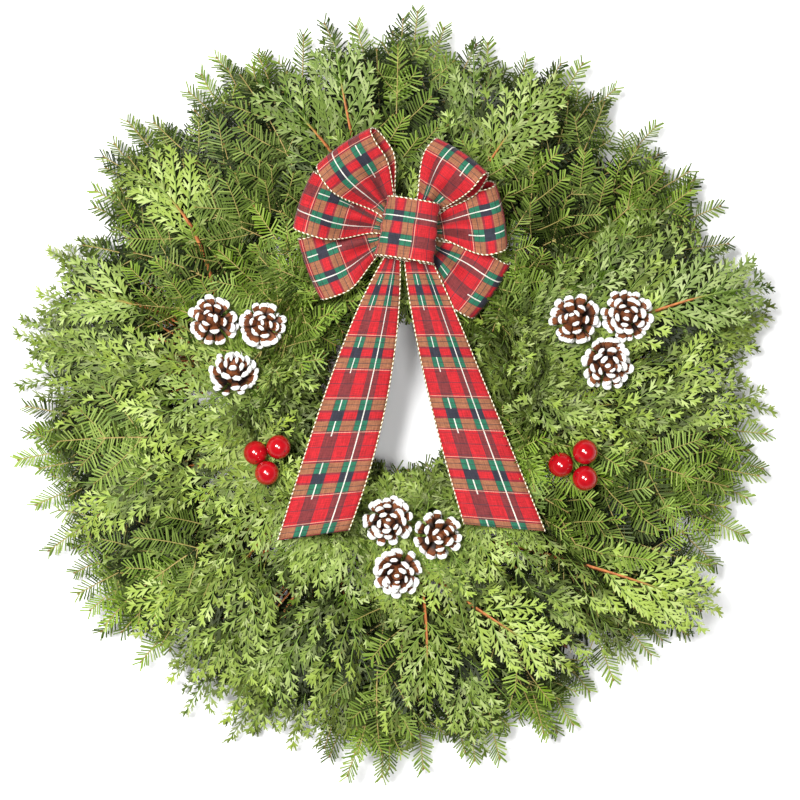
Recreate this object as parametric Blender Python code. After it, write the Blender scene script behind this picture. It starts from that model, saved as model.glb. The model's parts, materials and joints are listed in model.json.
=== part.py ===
"""Evergreen wreath with a plaid bow, pine cones and berries, lying on its back.

Metres, +Z out of the wreath's face, +Y towards the bow, the ring's flat underside on Z = 0.
Bunches of cut greens are held in pairs by the clamps of a wire ring. One layer of bunches
lies low and reaches the rim, a second layer lies half a step further round and on top.
"""

import math
import random

import bmesh
import bpy
from mathutils import Matrix, Vector
from mathutils.bvhtree import BVHTree

SEED = 20220
GAP = 0.0003

# Wire ring
RAIL_RADIUS = 0.1575
RAIL_WIRE_RADIUS = 0.0023
RAIL_HEIGHT = 0.0027
RAIL_SEGMENTS = 28
RAIL_SIDES = 5
CLAMP_WIDTH = 0.0335
CLAMP_LENGTH = 0.018
CLAMP_WALL = 0.0013
CLAMP_PLATE = 0.0016
CLAMP_TOP = 0.0185
CLAMP_LEAN = 0.0020

# Bunches of greens
BUNCHES_PER_LAYER = 14
FIRST_BUNCH_ANGLE = 11.3
FIRST_CLAMP_ANGLE = FIRST_BUNCH_ANGLE + 90.0 / BUNCHES_PER_LAYER
CORE_RADIUS = 0.0055
CORE_SIDES = 6
CORE_HEIGHT = 0.0104
CORE_OFFSET = 0.0076
CORE_SPAN = (0.132, 0.183)
FLOOR_CLEAR = 0.0025
SIDE_CLEAR = 0.0007
ROOF_RIDGE_RADIUS = 0.155
ROOF_RIDGE_HEIGHT = 0.050
ROOF_SLOPE_OUT = -0.105
ROOF_SLOPE_IN = 0.16
LAYER_GAP = 0.0022
HOLE_CLEAR_RADIUS = 0.062
FIR_NEEDLE = 0.0185
FIR_PITCH = 0.0130
FIR_FORWARD = 58.0
CEDAR_LEAFLET = 0.040
CEDAR_PITCH = 0.0149
CEDAR_FORWARD = 50.0
RIB_HALF_WIDTH = 0.0012
RIB_HEIGHT = 0.0019
LEAST_TOOTH = 0.0028
FIR, CEDAR = "fir", "cedar"
LOWER_KINDS = (
    CEDAR, FIR, FIR, FIR, FIR, FIR, CEDAR,
    FIR, FIR, CEDAR, FIR, FIR, FIR, FIR,
)
UPPER_KINDS = (
    CEDAR, FIR, CEDAR, CEDAR, FIR, FIR, CEDAR,
    CEDAR, CEDAR, CEDAR, CEDAR, CEDAR, FIR, CEDAR,
)

# Ribbon and bow
RIBBON_WIDTH = 0.064
RIBBON_THICKNESS = 0.0008
BOW_CENTRE = (0.0105, 0.160)
LOOP_ROOT = 0.0105
LOOP_ROOT_HALF_WIDTH = 0.0085
LOOP_SIDE_SHIFT = 0.0013
LOOP_HALF_HEIGHT = 0.0130
LOOP_ROOT_GAP = 0.0011
KNOT_CENTRE = (0.0137, 0.1605)
KNOT_LEAN = -9.0
KNOT_LENGTH = 0.058
KNOT_WIDTH = 0.052
KNOT_DEPTH = 0.029
KNOT_BOTTOM = 0.1113
TAIL_ROOT_HEIGHT = 0.1107
TAIL_SAG_HEIGHT = 0.0985
TAIL_END_HEIGHT = 0.1015
TIE_WIRE_RADIUS = 0.0006
TIE_TOP = (0.0105, 0.1925)
TIE_BOTTOM = (0.0065, 0.1285)
TIE_MEET = (0.0120, 0.1600)
TIE_FOOT_ANGLE = 84.0
LOOPS = {
    # name: direction, length, root height, fold height, roll, shear, half height share
    "bow_loop_lower_left": (201.0, 0.100, 0.1015, 0.0965, 6.0, -0.003, 0.9),
    "bow_loop_lower_right": (-34.0, 0.102, 0.1015, 0.0945, -3.0, 0.005, 0.80),
    "bow_loop_middle_left": (162.0, 0.104, 0.1050, 0.1110, 20.0, -0.003, 0.9),
    "bow_loop_middle_right": (10.0, 0.094, 0.1050, 0.1110, -20.0, 0.005, 0.9),
    "bow_loop_upper_left": (125.0, 0.101, 0.1085, 0.1250, 20.0, 0.006, 1.0),
    "bow_loop_upper_right": (53.0, 0.091, 0.1085, 0.1250, -20.0, -0.003, 1.0),
}
LOOP_STEPS = 8
LOOP_COLUMNS = 3
TAIL_EDGES = {
    "bow_tail_left": (
        ((-0.0055, 0.143), (-0.049, 0.075), (-0.083, -0.040), (-0.1153, -0.143)),
        ((0.0046, 0.143), (0.0085, 0.070), (-0.008, -0.040), (-0.0453, -0.1332)),
    ),
    "bow_tail_right": (
        ((0.0086, 0.143), (0.0125, 0.080), (0.038, -0.030), (0.0681, -0.1273)),
        ((0.031, 0.143), (0.062, 0.080), (0.105, -0.030), (0.148, -0.1342)),
    ),
}
TAIL_STEPS = 10
TAIL_COLUMNS = 3

# Cones and berries
CONE_HEIGHT = 0.039
CONE_BASE_HEIGHT = 0.068
SCALE_HALF_WIDTH = 0.0074
SCALE_HALF_THICKNESS = 0.0023
BERRY_SEGMENTS = 9
BERRY_RINGS = 6
PICK_WIRE_RADIUS = 0.0011
PICK_SIDES = 4
CLUSTERS = {
    # side: foot angle, cones as x, y, lift, radius, lean, lean direction
    "left": (159.2, (
        (-0.1788, 0.0731, 0.000, 0.0222, 10, 150),
        (-0.1345, 0.0685, -0.003, 0.0205, 12, 20),
        (-0.1590, 0.0345, 0.006, 0.0222, 24, 265),
    )),
    "right": (25.4, (
        (0.1815, 0.0750, -0.002, 0.0225, 12, 170),
        (0.2270, 0.0770, 0.003, 0.0232, 10, 30),
        (0.2095, 0.0335, 0.004, 0.0232, 14, 290),
    )),
    "bottom": (283.0, (
        (-0.0045, -0.1290, 0.001, 0.0222, 12, 130),
        (0.0395, -0.1405, -0.002, 0.0222, 12, 10),
        (0.0030, -0.1735, 0.004, 0.0222, 14, 260),
    )),
}
CONE_COLUMNS = 7
CORE_ROWS = ((0.02, 0.28), (0.18, 0.42), (0.42, 0.44), (0.62, 0.34), (0.80, 0.20), (0.92, 0.07))
SCALE_ROWS = (
    # share of radius, share of height, rise in degrees, size
    (1.00, 0.20, 2, 1.00),
    (0.91, 0.50, 20, 0.96),
    (0.66, 0.77, 42, 0.82),
    (0.33, 0.97, 68, 0.56),
)
BERRIES = {
    # side: foot angle, radius, places of the berries
    "left": (210.6, 0.0121, (
        (-0.1383, -0.0574, 0.086),
        (-0.1150, -0.0514, 0.096),
        (-0.1264, -0.0771, 0.096),
    )),
    "right": (339.2, 0.0125, (
        (0.1643, -0.0692, 0.091),
        (0.1878, -0.0562, 0.096),
        (0.1878, -0.0823, 0.096),
    )),
}

# Room kept free under what lies on the greens
BOW_SHADE_RADIUS = 0.122
BOW_SHADE_HEIGHT = 0.0765
TAIL_SHADE_HEIGHT = 0.0885
SHADE_SLOPE = 1.1
TRIES = 60


def remove_start_objects():
    """Empty the scene of whatever it starts with."""
    for obj in list(bpy.data.objects):
        bpy.data.objects.remove(obj, do_unlink=True)


def material(name, colour, roughness, metallic=0.0):
    """A plain Principled surface of one colour."""
    made = bpy.data.materials.new(name)
    made.use_nodes = True
    shader = made.node_tree.nodes["Principled BSDF"]
    shader.inputs["Base Color"].default_value = (*colour, 1.0)
    shader.inputs["Roughness"].default_value = roughness
    shader.inputs["Metallic"].default_value = metallic
    made.diffuse_color = (*colour, 1.0)
    return made


def mesh_object(name, points, faces, surface, smooth=False):
    """A mesh object with its normals turned outward."""
    shell = bmesh.new()
    verts = [shell.verts.new(p) for p in points]
    for face in faces:
        shell.faces.new([verts[i] for i in face])
    bmesh.ops.recalc_face_normals(shell, faces=shell.faces)
    if shell.calc_volume(signed=True) < 0:
        bmesh.ops.reverse_faces(shell, faces=shell.faces)
    data = bpy.data.meshes.new(name)
    shell.to_mesh(data)
    shell.free()
    obj = bpy.data.objects.new(name, data)
    bpy.context.scene.collection.objects.link(obj)
    data.materials.append(surface)
    if smooth:
        data.shade_smooth()
    return obj


def keep_largest_body(obj):
    """Drop loose scrap and bodies that only touch along an edge, leaving the largest."""
    shell = bmesh.new()
    shell.from_mesh(obj.data)
    bmesh.ops.triangulate(shell, faces=shell.faces)
    left = set(shell.faces)
    bodies = []
    while left:
        start = left.pop()
        body, front = {start}, [start]
        while front:
            for edge in front.pop().edges:
                if len(edge.link_faces) != 2:
                    continue
                for face in edge.link_faces:
                    if face not in body:
                        body.add(face)
                        front.append(face)
        left -= body
        bodies.append(body)
    bodies.sort(key=len, reverse=True)
    scrap = [face for body in bodies[1:] for face in body]
    bmesh.ops.delete(shell, geom=scrap, context="FACES")
    shell.to_mesh(obj.data)
    shell.free()


def is_sound(obj):
    """Whether a mesh is one closed body with no edge shared by more than two faces."""
    shell = bmesh.new()
    shell.from_mesh(obj.data)
    sound = all(len(edge.link_faces) == 2 for edge in shell.edges)
    seen, front = set(), [shell.verts[:1][0]] if shell.verts else []
    seen.update(front)
    while front:
        for edge in front.pop().link_edges:
            for vert in edge.verts:
                if vert not in seen:
                    seen.add(vert)
                    front.append(vert)
    sound = sound and len(seen) == len(shell.verts)
    shell.free()
    return sound


def fuse(body, pieces, use_self=False):
    """Join pieces into body with one Boolean union and remove them."""
    group = bpy.data.collections.new(body.name + "_pieces")
    bpy.context.scene.collection.children.link(group)
    for piece in pieces:
        bpy.context.scene.collection.objects.unlink(piece)
        group.objects.link(piece)
    union = body.modifiers.new("Union", "BOOLEAN")
    union.operation = "UNION"
    union.solver = "EXACT"
    union.use_self = use_self
    union.operand_type = "COLLECTION"
    union.collection = group
    bpy.context.view_layer.update()
    graph = bpy.context.evaluated_depsgraph_get()
    joined = bpy.data.meshes.new_from_object(body.evaluated_get(graph))
    surface = body.data.materials[0]
    body.modifiers.clear()
    body.data = joined
    joined.materials.clear()
    joined.materials.append(surface)
    for piece in pieces:
        bpy.data.objects.remove(piece, do_unlink=True)
    bpy.data.collections.remove(group)
    keep_largest_body(body)
    return body


def smoothstep(value):
    """Ease from 0 to 1 with flat ends."""
    value = min(max(value, 0.0), 1.0)
    return value * value * (3 - 2 * value)


def mix(a, b, share):
    """Linear blend of two numbers or vectors."""
    return a * (1 - share) + b * share


def bezier(points, share):
    """Point of a quadratic or cubic curve at a share of its length."""
    row = [Vector(p) for p in points]
    while len(row) > 1:
        row = [mix(a, b, share) for a, b in zip(row, row[1:])]
    return row[0]


def polar(radius, angle, height=0.0):
    """Point at an angle in degrees round the wreath's centre."""
    turn = math.radians(angle)
    return Vector((radius * math.cos(turn), radius * math.sin(turn), height))


def tube_data(path, radius, sides, end_radius=None):
    """Points and faces of a closed tube along a path, its section carried without twist."""
    path = [Vector(p) for p in path]
    end_radius = radius if end_radius is None else end_radius
    along = [(b - a).normalized() for a, b in zip(path, path[1:])]
    tangents = [along[0]] + [(a + b).normalized() for a, b in zip(along, along[1:])] + [along[-1]]
    side = tangents[0].orthogonal().normalized()
    points, faces = [], []
    for step, (centre, ahead) in enumerate(zip(path, tangents)):
        side = (side - ahead * side.dot(ahead)).normalized()
        other = ahead.cross(side)
        size = mix(radius, end_radius, step / (len(path) - 1))
        for corner in range(sides):
            turn = 2 * math.pi * corner / sides
            points.append(centre + size * (math.cos(turn) * side + math.sin(turn) * other))
    for step in range(len(path) - 1):
        for corner in range(sides):
            following = (corner + 1) % sides
            low, high = step * sides, (step + 1) * sides
            faces.append((low + corner, low + following, high + following, high + corner))
    faces.append(tuple(reversed(range(sides))))
    faces.append(tuple(range((len(path) - 1) * sides, len(path) * sides)))
    return points, faces


def band_data(grid, thickness, cyclic=False):
    """Points and faces of a thin closed band whose middle surface is a grid of points."""
    rows, columns = len(grid), len(grid[0])
    upper, lower = [], []
    for i in range(rows):
        for j in range(columns):
            before = grid[(i - 1) % rows if cyclic else max(i - 1, 0)][j]
            after = grid[(i + 1) % rows if cyclic else min(i + 1, rows - 1)][j]
            left = grid[i][max(j - 1, 0)]
            right = grid[i][min(j + 1, columns - 1)]
            normal = (after - before).cross(right - left).normalized()
            upper.append(grid[i][j] + normal * thickness / 2)
            lower.append(grid[i][j] - normal * thickness / 2)
    points = upper + lower
    shift = rows * columns
    faces = []
    steps = rows if cyclic else rows - 1
    for i in range(steps):
        following = (i + 1) % rows
        for j in range(columns - 1):
            a, b = i * columns + j, i * columns + j + 1
            c, d = following * columns + j + 1, following * columns + j
            faces.append((a, b, c, d))
            faces.append((shift + d, shift + c, shift + b, shift + a))
        for j in (0, columns - 1):
            a, d = i * columns + j, following * columns + j
            faces.append((a, d, shift + d, shift + a))
    if not cyclic:
        for i in (0, rows - 1):
            for j in range(columns - 1):
                a, b = i * columns + j, i * columns + j + 1
                faces.append((a, b, shift + b, shift + a))
    return points, faces


# Wire ring

def rail_data():
    """Closed rail of round wire, bent into a circle, with a flat facet underneath."""
    points, faces = [], []
    for step in range(RAIL_SEGMENTS):
        angle = FIRST_CLAMP_ANGLE + 360.0 * (step + 0.5) / RAIL_SEGMENTS
        for corner in range(RAIL_SIDES):
            turn = math.radians(-90 + 180 / RAIL_SIDES + 360 * corner / RAIL_SIDES)
            out = RAIL_RADIUS + RAIL_WIRE_RADIUS * math.cos(turn)
            points.append(polar(out, angle, RAIL_HEIGHT + RAIL_WIRE_RADIUS * math.sin(turn)))
    count = RAIL_SEGMENTS * RAIL_SIDES
    for step in range(RAIL_SEGMENTS):
        for corner in range(RAIL_SIDES):
            following = (corner + 1) % RAIL_SIDES
            low = step * RAIL_SIDES
            high = (low + RAIL_SIDES) % count
            faces.append((low + corner, low + following, high + following, high + corner))
    return points, faces


def clamp_data(angle):
    """Open metal clamp of a plate and two prongs that lean in over the cut stems."""
    half, wall = CLAMP_WIDTH / 2, CLAMP_WALL
    profile = [
        (-half, 0.0), (half, 0.0), (half - CLAMP_LEAN, CLAMP_TOP),
        (half - CLAMP_LEAN - wall, CLAMP_TOP), (half - wall, CLAMP_PLATE),
        (-half + wall, CLAMP_PLATE), (-half + CLAMP_LEAN + wall, CLAMP_TOP),
        (-half + CLAMP_LEAN, CLAMP_TOP),
    ]
    middle = RAIL_RADIUS
    ahead = polar(1.0, angle)
    aside = Vector((-ahead.y, ahead.x, 0))
    points = []
    for out in (middle - CLAMP_LENGTH / 2, middle + CLAMP_LENGTH / 2):
        points += [ahead * out + aside * x + Vector((0, 0, z)) for x, z in profile]
    count = len(profile)
    faces = [tuple(range(count)), tuple(reversed(range(count, 2 * count)))]
    for i in range(count):
        j = (i + 1) % count
        faces.append((i, j, count + j, count + i))
    return points, faces


def build_ring(surface):
    """The rail with a clamp fused on for every pair of bunches."""
    rail = mesh_object("wire_ring", *rail_data(), surface)
    pieces = []
    for i in range(BUNCHES_PER_LAYER):
        angle = FIRST_CLAMP_ANGLE + i * 360.0 / BUNCHES_PER_LAYER
        pieces.append(mesh_object("clamp", *clamp_data(angle), surface))
    return fuse(rail, pieces)


# Bow


def loop_grid(direction, length, root_height, fold_height, roll, shear, puff):
    """Middle surface of one bow loop: out along the back, round the fold, home along the front."""
    turn = math.radians(direction)
    ahead = Vector((math.cos(turn), math.sin(turn), 0))
    aside = Vector((-ahead.y, ahead.x, 0))
    high = LOOP_HALF_HEIGHT * puff
    grid = []
    for i in range(2 * LOOP_STEPS + 1):
        share = 1 - abs(i - LOOP_STEPS) / LOOP_STEPS
        front = 1 if i > LOOP_STEPS else -1 if i < LOOP_STEPS else 0
        round_end = math.sqrt(max(1 - share ** 8, 0.0))
        out = mix(LOOP_ROOT, length, share ** 0.85)
        open_height = mix(LOOP_ROOT_GAP, high, smoothstep((out - 0.026) / (0.60 * length)))
        lift = front * open_height * round_end
        half = mix(LOOP_ROOT_HALF_WIDTH, RIBBON_WIDTH / 2, smoothstep((out - 0.020) / 0.055))
        tilt = math.radians(roll) * smoothstep((out - 0.020) / (0.50 * length))
        wide = aside * math.cos(tilt) + Vector((0, 0, math.sin(tilt)))
        climb = smoothstep((out - 0.026) / (length - 0.030))
        middle = Vector((*BOW_CENTRE, mix(root_height, fold_height, climb)))
        middle += ahead * out + Vector((math.copysign(LOOP_SIDE_SHIFT, ahead.x), 0, lift))
        middle += aside * shear * lift / high * -1
        row = []
        for j in range(LOOP_COLUMNS):
            across = 2 * j / (LOOP_COLUMNS - 1) - 1
            bulge = 0.0025 * (1 - across * across) * share * (1 if front >= 0 else -1)
            row.append(middle + wide * half * across + Vector((0, 0, bulge)) + ahead * bulge)
        grid.append(row)
    return grid


def knot_grid():
    """Middle surface of the centre loop, a rounded oblong tube whose axis runs up the wreath."""
    turn = math.radians(90 + KNOT_LEAN)
    axis = Vector((math.cos(turn), math.sin(turn), 0))
    aside = Vector((axis.y, -axis.x, 0))
    steps = 16
    centre = Vector((*KNOT_CENTRE, KNOT_BOTTOM + KNOT_DEPTH / 2 + RIBBON_THICKNESS / 2))
    grid = []
    for i in range(steps):
        angle = 2 * math.pi * (i + 0.5) / steps
        cosine, sine = math.cos(angle), math.sin(angle)
        x = math.copysign(abs(cosine) ** 0.62, cosine) * KNOT_WIDTH / 2
        z = math.copysign(abs(sine) ** 0.75, sine) * KNOT_DEPTH / 2
        row = []
        for j in range(3):
            across = j - 1
            flare = 1 - 0.06 * across if z > -KNOT_DEPTH * 0.4 else 0.9
            spot = centre + axis * across * KNOT_LENGTH / 2 + aside * x * flare
            row.append(spot + Vector((0, 0, z)))
        grid.append(row)
    return grid


def tail_grid(name):
    """Middle surface of one tail between its two edge curves, arched over the greens."""
    left, right = TAIL_EDGES[name]
    grid = []
    for i in range(TAIL_STEPS + 1):
        share = i / TAIL_STEPS
        a, b = bezier(left, share), bezier(right, share)
        height = mix(TAIL_ROOT_HEIGHT, TAIL_SAG_HEIGHT, smoothstep((share - 0.16) / 0.42))
        height = mix(height, TAIL_END_HEIGHT, smoothstep((share - 0.6) / 0.4))
        row = []
        for j in range(TAIL_COLUMNS):
            across = j / (TAIL_COLUMNS - 1)
            arch = 0.004 * (1 - (2 * across - 1) ** 2) * smoothstep((share - 0.08) / 0.2)
            flat = mix(a, b, across)
            row.append(Vector((flat.x, flat.y, height + arch)))
        grid.append(row)
    return grid


def build_bow(surface, wire):
    """Six loops, the centre loop, two tails and the wire that ties them to the ring."""
    made = []
    for name, values in LOOPS.items():
        grid = loop_grid(*values)
        made.append(mesh_object(name, *band_data(grid, RIBBON_THICKNESS), surface, True))
    knot = band_data(knot_grid(), RIBBON_THICKNESS, cyclic=True)
    made.append(mesh_object("bow_knot", *knot, surface, True))
    for name in TAIL_EDGES:
        made.append(mesh_object(name, *band_data(tail_grid(name), RIBBON_THICKNESS), surface, True))
    made.append(build_tie_wire(wire))
    return made


def build_tie_wire(surface):
    """Wire through the centre loop, down both sides of the gather and hooked on the ring."""
    inside = KNOT_BOTTOM + RIBBON_THICKNESS + GAP + TIE_WIRE_RADIUS + 0.0010
    below = 0.0915
    strand = [
        (*TIE_MEET, below),
        (*mix(Vector(TIE_MEET), Vector(TIE_TOP), 0.55), below + 0.001),
        (*TIE_TOP, below + 0.009),
        (*TIE_TOP, inside - 0.002),
        (TIE_TOP[0] - 0.0004, TIE_TOP[1] - 0.004, inside),
        (TIE_BOTTOM[0] + 0.0004, TIE_BOTTOM[1] + 0.004, inside),
        (*TIE_BOTTOM, inside - 0.002),
        (*TIE_BOTTOM, below + 0.009),
        (*mix(Vector(TIE_MEET), Vector(TIE_BOTTOM), 0.55), below + 0.001),
        (TIE_MEET[0], TIE_MEET[1] - 0.0006, below - 0.0004),
    ]
    loop = mesh_object("bow_tie_wire", *tube_data(strand, TIE_WIRE_RADIUS, 5), surface, True)
    trunk = hook_path(TIE_FOOT_ANGLE, TIE_WIRE_RADIUS * 1.6)
    trunk = [Vector((*TIE_MEET, below + 0.0006)), Vector((*TIE_MEET, below - 0.008))] + trunk
    thick = tube_data(trunk, TIE_WIRE_RADIUS * 1.6, 5)
    return fuse(loop, [mesh_object("trunk", *thick, surface)])


def rail_at(angle):
    """Distance of the rail's middle from the wreath's centre at an angle in degrees."""
    span = 360.0 / RAIL_SEGMENTS
    off = (angle - FIRST_CLAMP_ANGLE + span / 2) % span - span / 2
    return RAIL_RADIUS * math.cos(math.radians(span / 2)) / math.cos(math.radians(off))


def hook_path(angle, wire_radius):
    """Path from above the rail, down to it, over its top and down inside it."""
    middle = rail_at(angle)
    reach = RAIL_WIRE_RADIUS + wire_radius + GAP + 0.0002
    rail = RAIL_HEIGHT
    return [
        polar(middle + 0.0005, angle, rail + reach + 0.012),
        polar(middle + reach * 0.2, angle, rail + reach + 0.0030),
        polar(middle - reach * 0.75, angle, rail + reach * 0.85),
        polar(middle - reach * 1.08, angle, rail + 0.0004),
    ]


# Pine cones


def scale_tip(reach, level, rise, size, turn):
    """Four outer corners of one woody scale: left, top, right and bottom of its blunt tip."""
    climb = math.radians(rise)
    out = Vector((math.cos(climb), 0, math.sin(climb)))
    thick = Vector((-math.sin(climb), 0, math.cos(climb))) * SCALE_HALF_THICKNESS * size
    wide = Vector((0, SCALE_HALF_WIDTH * size, 0))
    tip = Vector((reach, 0, level))
    drawn_in = out * 0.0032 * size
    return [turn @ (tip + p) for p in (wide - drawn_in, thick, -wide - drawn_in, -thick * 1.1)]


def cone_data(radius, luck):
    """Closed cone: a staggered lattice whose every diamond is drawn out into a scale."""
    points, faces = [], []
    step = 2 * math.pi / CONE_COLUMNS
    for row, (level, share) in enumerate(CORE_ROWS):
        for i in range(CONE_COLUMNS):
            angle = step * (i + 0.5 * (row % 2))
            flat = radius * share
            x, y = flat * math.cos(angle), flat * math.sin(angle)
            points.append(Vector((x, y, level * CONE_HEIGHT)))

    def at(row, column):
        return row * CONE_COLUMNS + column % CONE_COLUMNS

    for row, (share, level, rise, size) in enumerate(SCALE_ROWS, 1):
        for i in range(CONE_COLUMNS):
            later = i + (row % 2)
            base = [at(row, i + 1), at(row + 1, later), at(row, i), at(row - 1, later)]
            angle = step * (i + 0.5 * (row % 2) + 0.5) + luck.uniform(-0.07, 0.07)
            turn = Matrix.Rotation(angle, 3, "Z")
            reach = radius * share * luck.uniform(0.95, 1.0)
            start = len(points)
            climb = rise + luck.uniform(-4, 4)
            points += scale_tip(reach, level * CONE_HEIGHT, climb, size, turn)
            for k in range(4):
                m = (k + 1) % 4
                faces += [(base[k], base[m], start + m), (base[k], start + m, start + k)]
            faces += [(start, start + 1, start + 3), (start + 1, start + 2, start + 3)]
    last = len(CORE_ROWS) - 1
    for i in range(CONE_COLUMNS):
        faces.append((at(0, i), at(0, i + 1), at(1, i)))
        faces.append((at(last, i), at(last, i + 1), at(last - 1, i + 1)))
    faces.append(tuple(at(0, i) for i in range(CONE_COLUMNS)))
    faces.append(tuple(at(last, i) for i in range(CONE_COLUMNS)))
    return points, faces


def build_cone(name, x, y, lift, radius, lean, lean_to, surface, luck):
    """One open cone, its tip up and leaning a little."""
    tilt = Matrix.Rotation(math.radians(lean), 4, polar(1, lean_to + 90))
    spin = Matrix.Rotation(luck.uniform(0, 2 * math.pi), 4, "Z")
    place = Matrix.Translation((x, y, CONE_BASE_HEIGHT + lift)) @ tilt @ spin
    points, faces = cone_data(radius, luck)
    return mesh_object(name, [place @ p for p in points], faces, surface)


def pick_path(foot_angle, end):
    """Path of a pick wire from its hook on the rail up to a point under what it holds."""
    trunk = hook_path(foot_angle, PICK_WIRE_RADIUS)
    knee = trunk[0] + Vector((0, 0, 0.032))
    return trunk, knee, Vector(end)


def build_pick_wire(name, foot_angle, ends, fork, surface):
    """Pick wire with a branch to each cone or berry, hooked over the ring's rail."""
    trunk, knee, fork = pick_path(foot_angle, fork)
    stem = [fork + (fork - knee).normalized() * 0.0008, knee] + trunk
    body = mesh_object(name, *tube_data(stem, PICK_WIRE_RADIUS, PICK_SIDES), surface, True)
    pieces = []
    for end in ends:
        end = Vector(end)
        start = fork - (end - fork).normalized() * 0.0006
        bend = mix(fork, Vector((end.x, end.y, fork.z)), 0.8)
        path = [start, bend, end]
        data = tube_data(path, PICK_WIRE_RADIUS * 0.7, PICK_SIDES)
        pieces.append(mesh_object("branch", *data, surface))
    return fuse(body, pieces)


def build_cones(surface, wire):
    """Three clusters of three cones with the pick wires that hold them."""
    luck = random.Random(SEED + 1)
    made = []
    for side, (foot_angle, cones) in CLUSTERS.items():
        ends = []
        for number, (x, y, lift, radius, lean, lean_to) in enumerate(cones, 1):
            name = f"cone_{side}_{number}"
            made.append(build_cone(name, x, y, lift, radius, lean, lean_to, surface, luck))
            ends.append((x, y, CONE_BASE_HEIGHT + lift + GAP))
        middle = sum((Vector(e) for e in ends), Vector()) / 3
        fork = Vector((middle.x, middle.y, CONE_BASE_HEIGHT - 0.012))
        made.append(build_pick_wire(f"cone_wire_{side}", foot_angle, ends, fork, wire))
    return made


# Berries


def berry_data(radius):
    """Round berry with a shallow dimple at its top."""
    points = [Vector((0, 0, -radius))]
    for ring in range(1, BERRY_RINGS):
        climb = math.pi * ring / BERRY_RINGS - math.pi / 2
        for i in range(BERRY_SEGMENTS):
            turn = 2 * math.pi * (i + 0.5 * (ring % 2)) / BERRY_SEGMENTS
            flat = radius * math.cos(climb)
            level = radius * math.sin(climb)
            points.append(Vector((flat * math.cos(turn), flat * math.sin(turn), level)))
    points.append(Vector((0, 0, radius * 0.90)))
    faces = [(0, 1 + (i + 1) % BERRY_SEGMENTS, 1 + i) for i in range(BERRY_SEGMENTS)]
    for ring in range(BERRY_RINGS - 2):
        for i in range(BERRY_SEGMENTS):
            j = (i + 1) % BERRY_SEGMENTS
            low, high = 1 + ring * BERRY_SEGMENTS, 1 + (ring + 1) * BERRY_SEGMENTS
            if ring % 2:
                faces += [(low + i, low + j, high + i), (low + j, high + j, high + i)]
            else:
                faces += [(low + i, low + j, high + j), (low + i, high + j, high + i)]
    last = 1 + (BERRY_RINGS - 2) * BERRY_SEGMENTS
    top = len(points) - 1
    faces += [(last + i, last + (i + 1) % BERRY_SEGMENTS, top) for i in range(BERRY_SEGMENTS)]
    return points, faces


def build_berries(surface, wire):
    """Two picks of three berries on their wires."""
    made = []
    for side, (foot_angle, radius, spots) in BERRIES.items():
        ends = []
        for number, spot in enumerate(spots, 1):
            points, faces = berry_data(radius)
            placed = [Vector(spot) + p for p in points]
            made.append(mesh_object(f"berry_{side}_{number}", placed, faces, surface, True))
            ends.append((spot[0], spot[1], spot[2] - radius - GAP - 0.0001))
        middle = sum((Vector(e) for e in ends), Vector()) / 3
        fork = Vector((middle.x, middle.y, 0.062))
        made.append(build_pick_wire(f"berry_wire_{side}", foot_angle, ends, fork, wire))
    return made


# Greens

def shade_height(point):
    """Highest level open to greens at a point, below the bow, tails, cones and berries."""
    flat = Vector((point.x, point.y))
    limit = 1.0
    away = (flat - Vector(BOW_CENTRE)).length - BOW_SHADE_RADIUS
    limit = min(limit, BOW_SHADE_HEIGHT + SHADE_SLOPE * max(away, 0.0))
    for left, right in TAIL_EDGES.values():
        for i in range(0, 21):
            a, b = bezier(left, i / 20), bezier(right, i / 20)
            middle, half = (a + b) / 2, (b - a).length / 2
            away = (flat - middle).length - max(half, 0.012) - 0.003
            limit = min(limit, TAIL_SHADE_HEIGHT + SHADE_SLOPE * max(away, 0.0))
    for _, cones in CLUSTERS.values():
        for x, y, lift, radius, _, _ in cones:
            away = (flat - Vector((x, y))).length - radius - 0.004
            limit = min(limit, CONE_BASE_HEIGHT + lift - 0.003 + 1.6 * max(away, 0.0))
    for _, radius, spots in BERRIES.values():
        for spot in spots:
            away = (flat - Vector(spot[:2])).length - radius * 0.6
            limit = min(limit, spot[2] - radius - 0.002 + 1.4 * max(away, 0.0))
    return limit


def wedge_point(point, angle, upper):
    """A point moved inside its bunch's own room: between the neighbours, in its layer."""
    ahead = polar(1.0, angle)
    aside = Vector((-ahead.y, ahead.x, 0))
    out, across, height = max(point.dot(ahead), HOLE_CLEAR_RADIUS), point.dot(aside), point.z
    room = out * math.tan(math.radians(180.0 / BUNCHES_PER_LAYER)) - SIDE_CLEAR
    across = min(max(across, -room), room)
    slope = ROOF_SLOPE_OUT if out > ROOF_RIDGE_RADIUS else ROOF_SLOPE_IN
    roof = ROOF_RIDGE_HEIGHT + (out - ROOF_RIDGE_RADIUS) * slope
    if upper:
        flat = ahead * out + aside * across
        height = max(min(height, shade_height(flat)), roof + LAYER_GAP)
    else:
        height = max(min(height, roof), FLOOR_CLEAR)
    return ahead * out + aside * across + Vector((0, 0, height))


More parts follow.
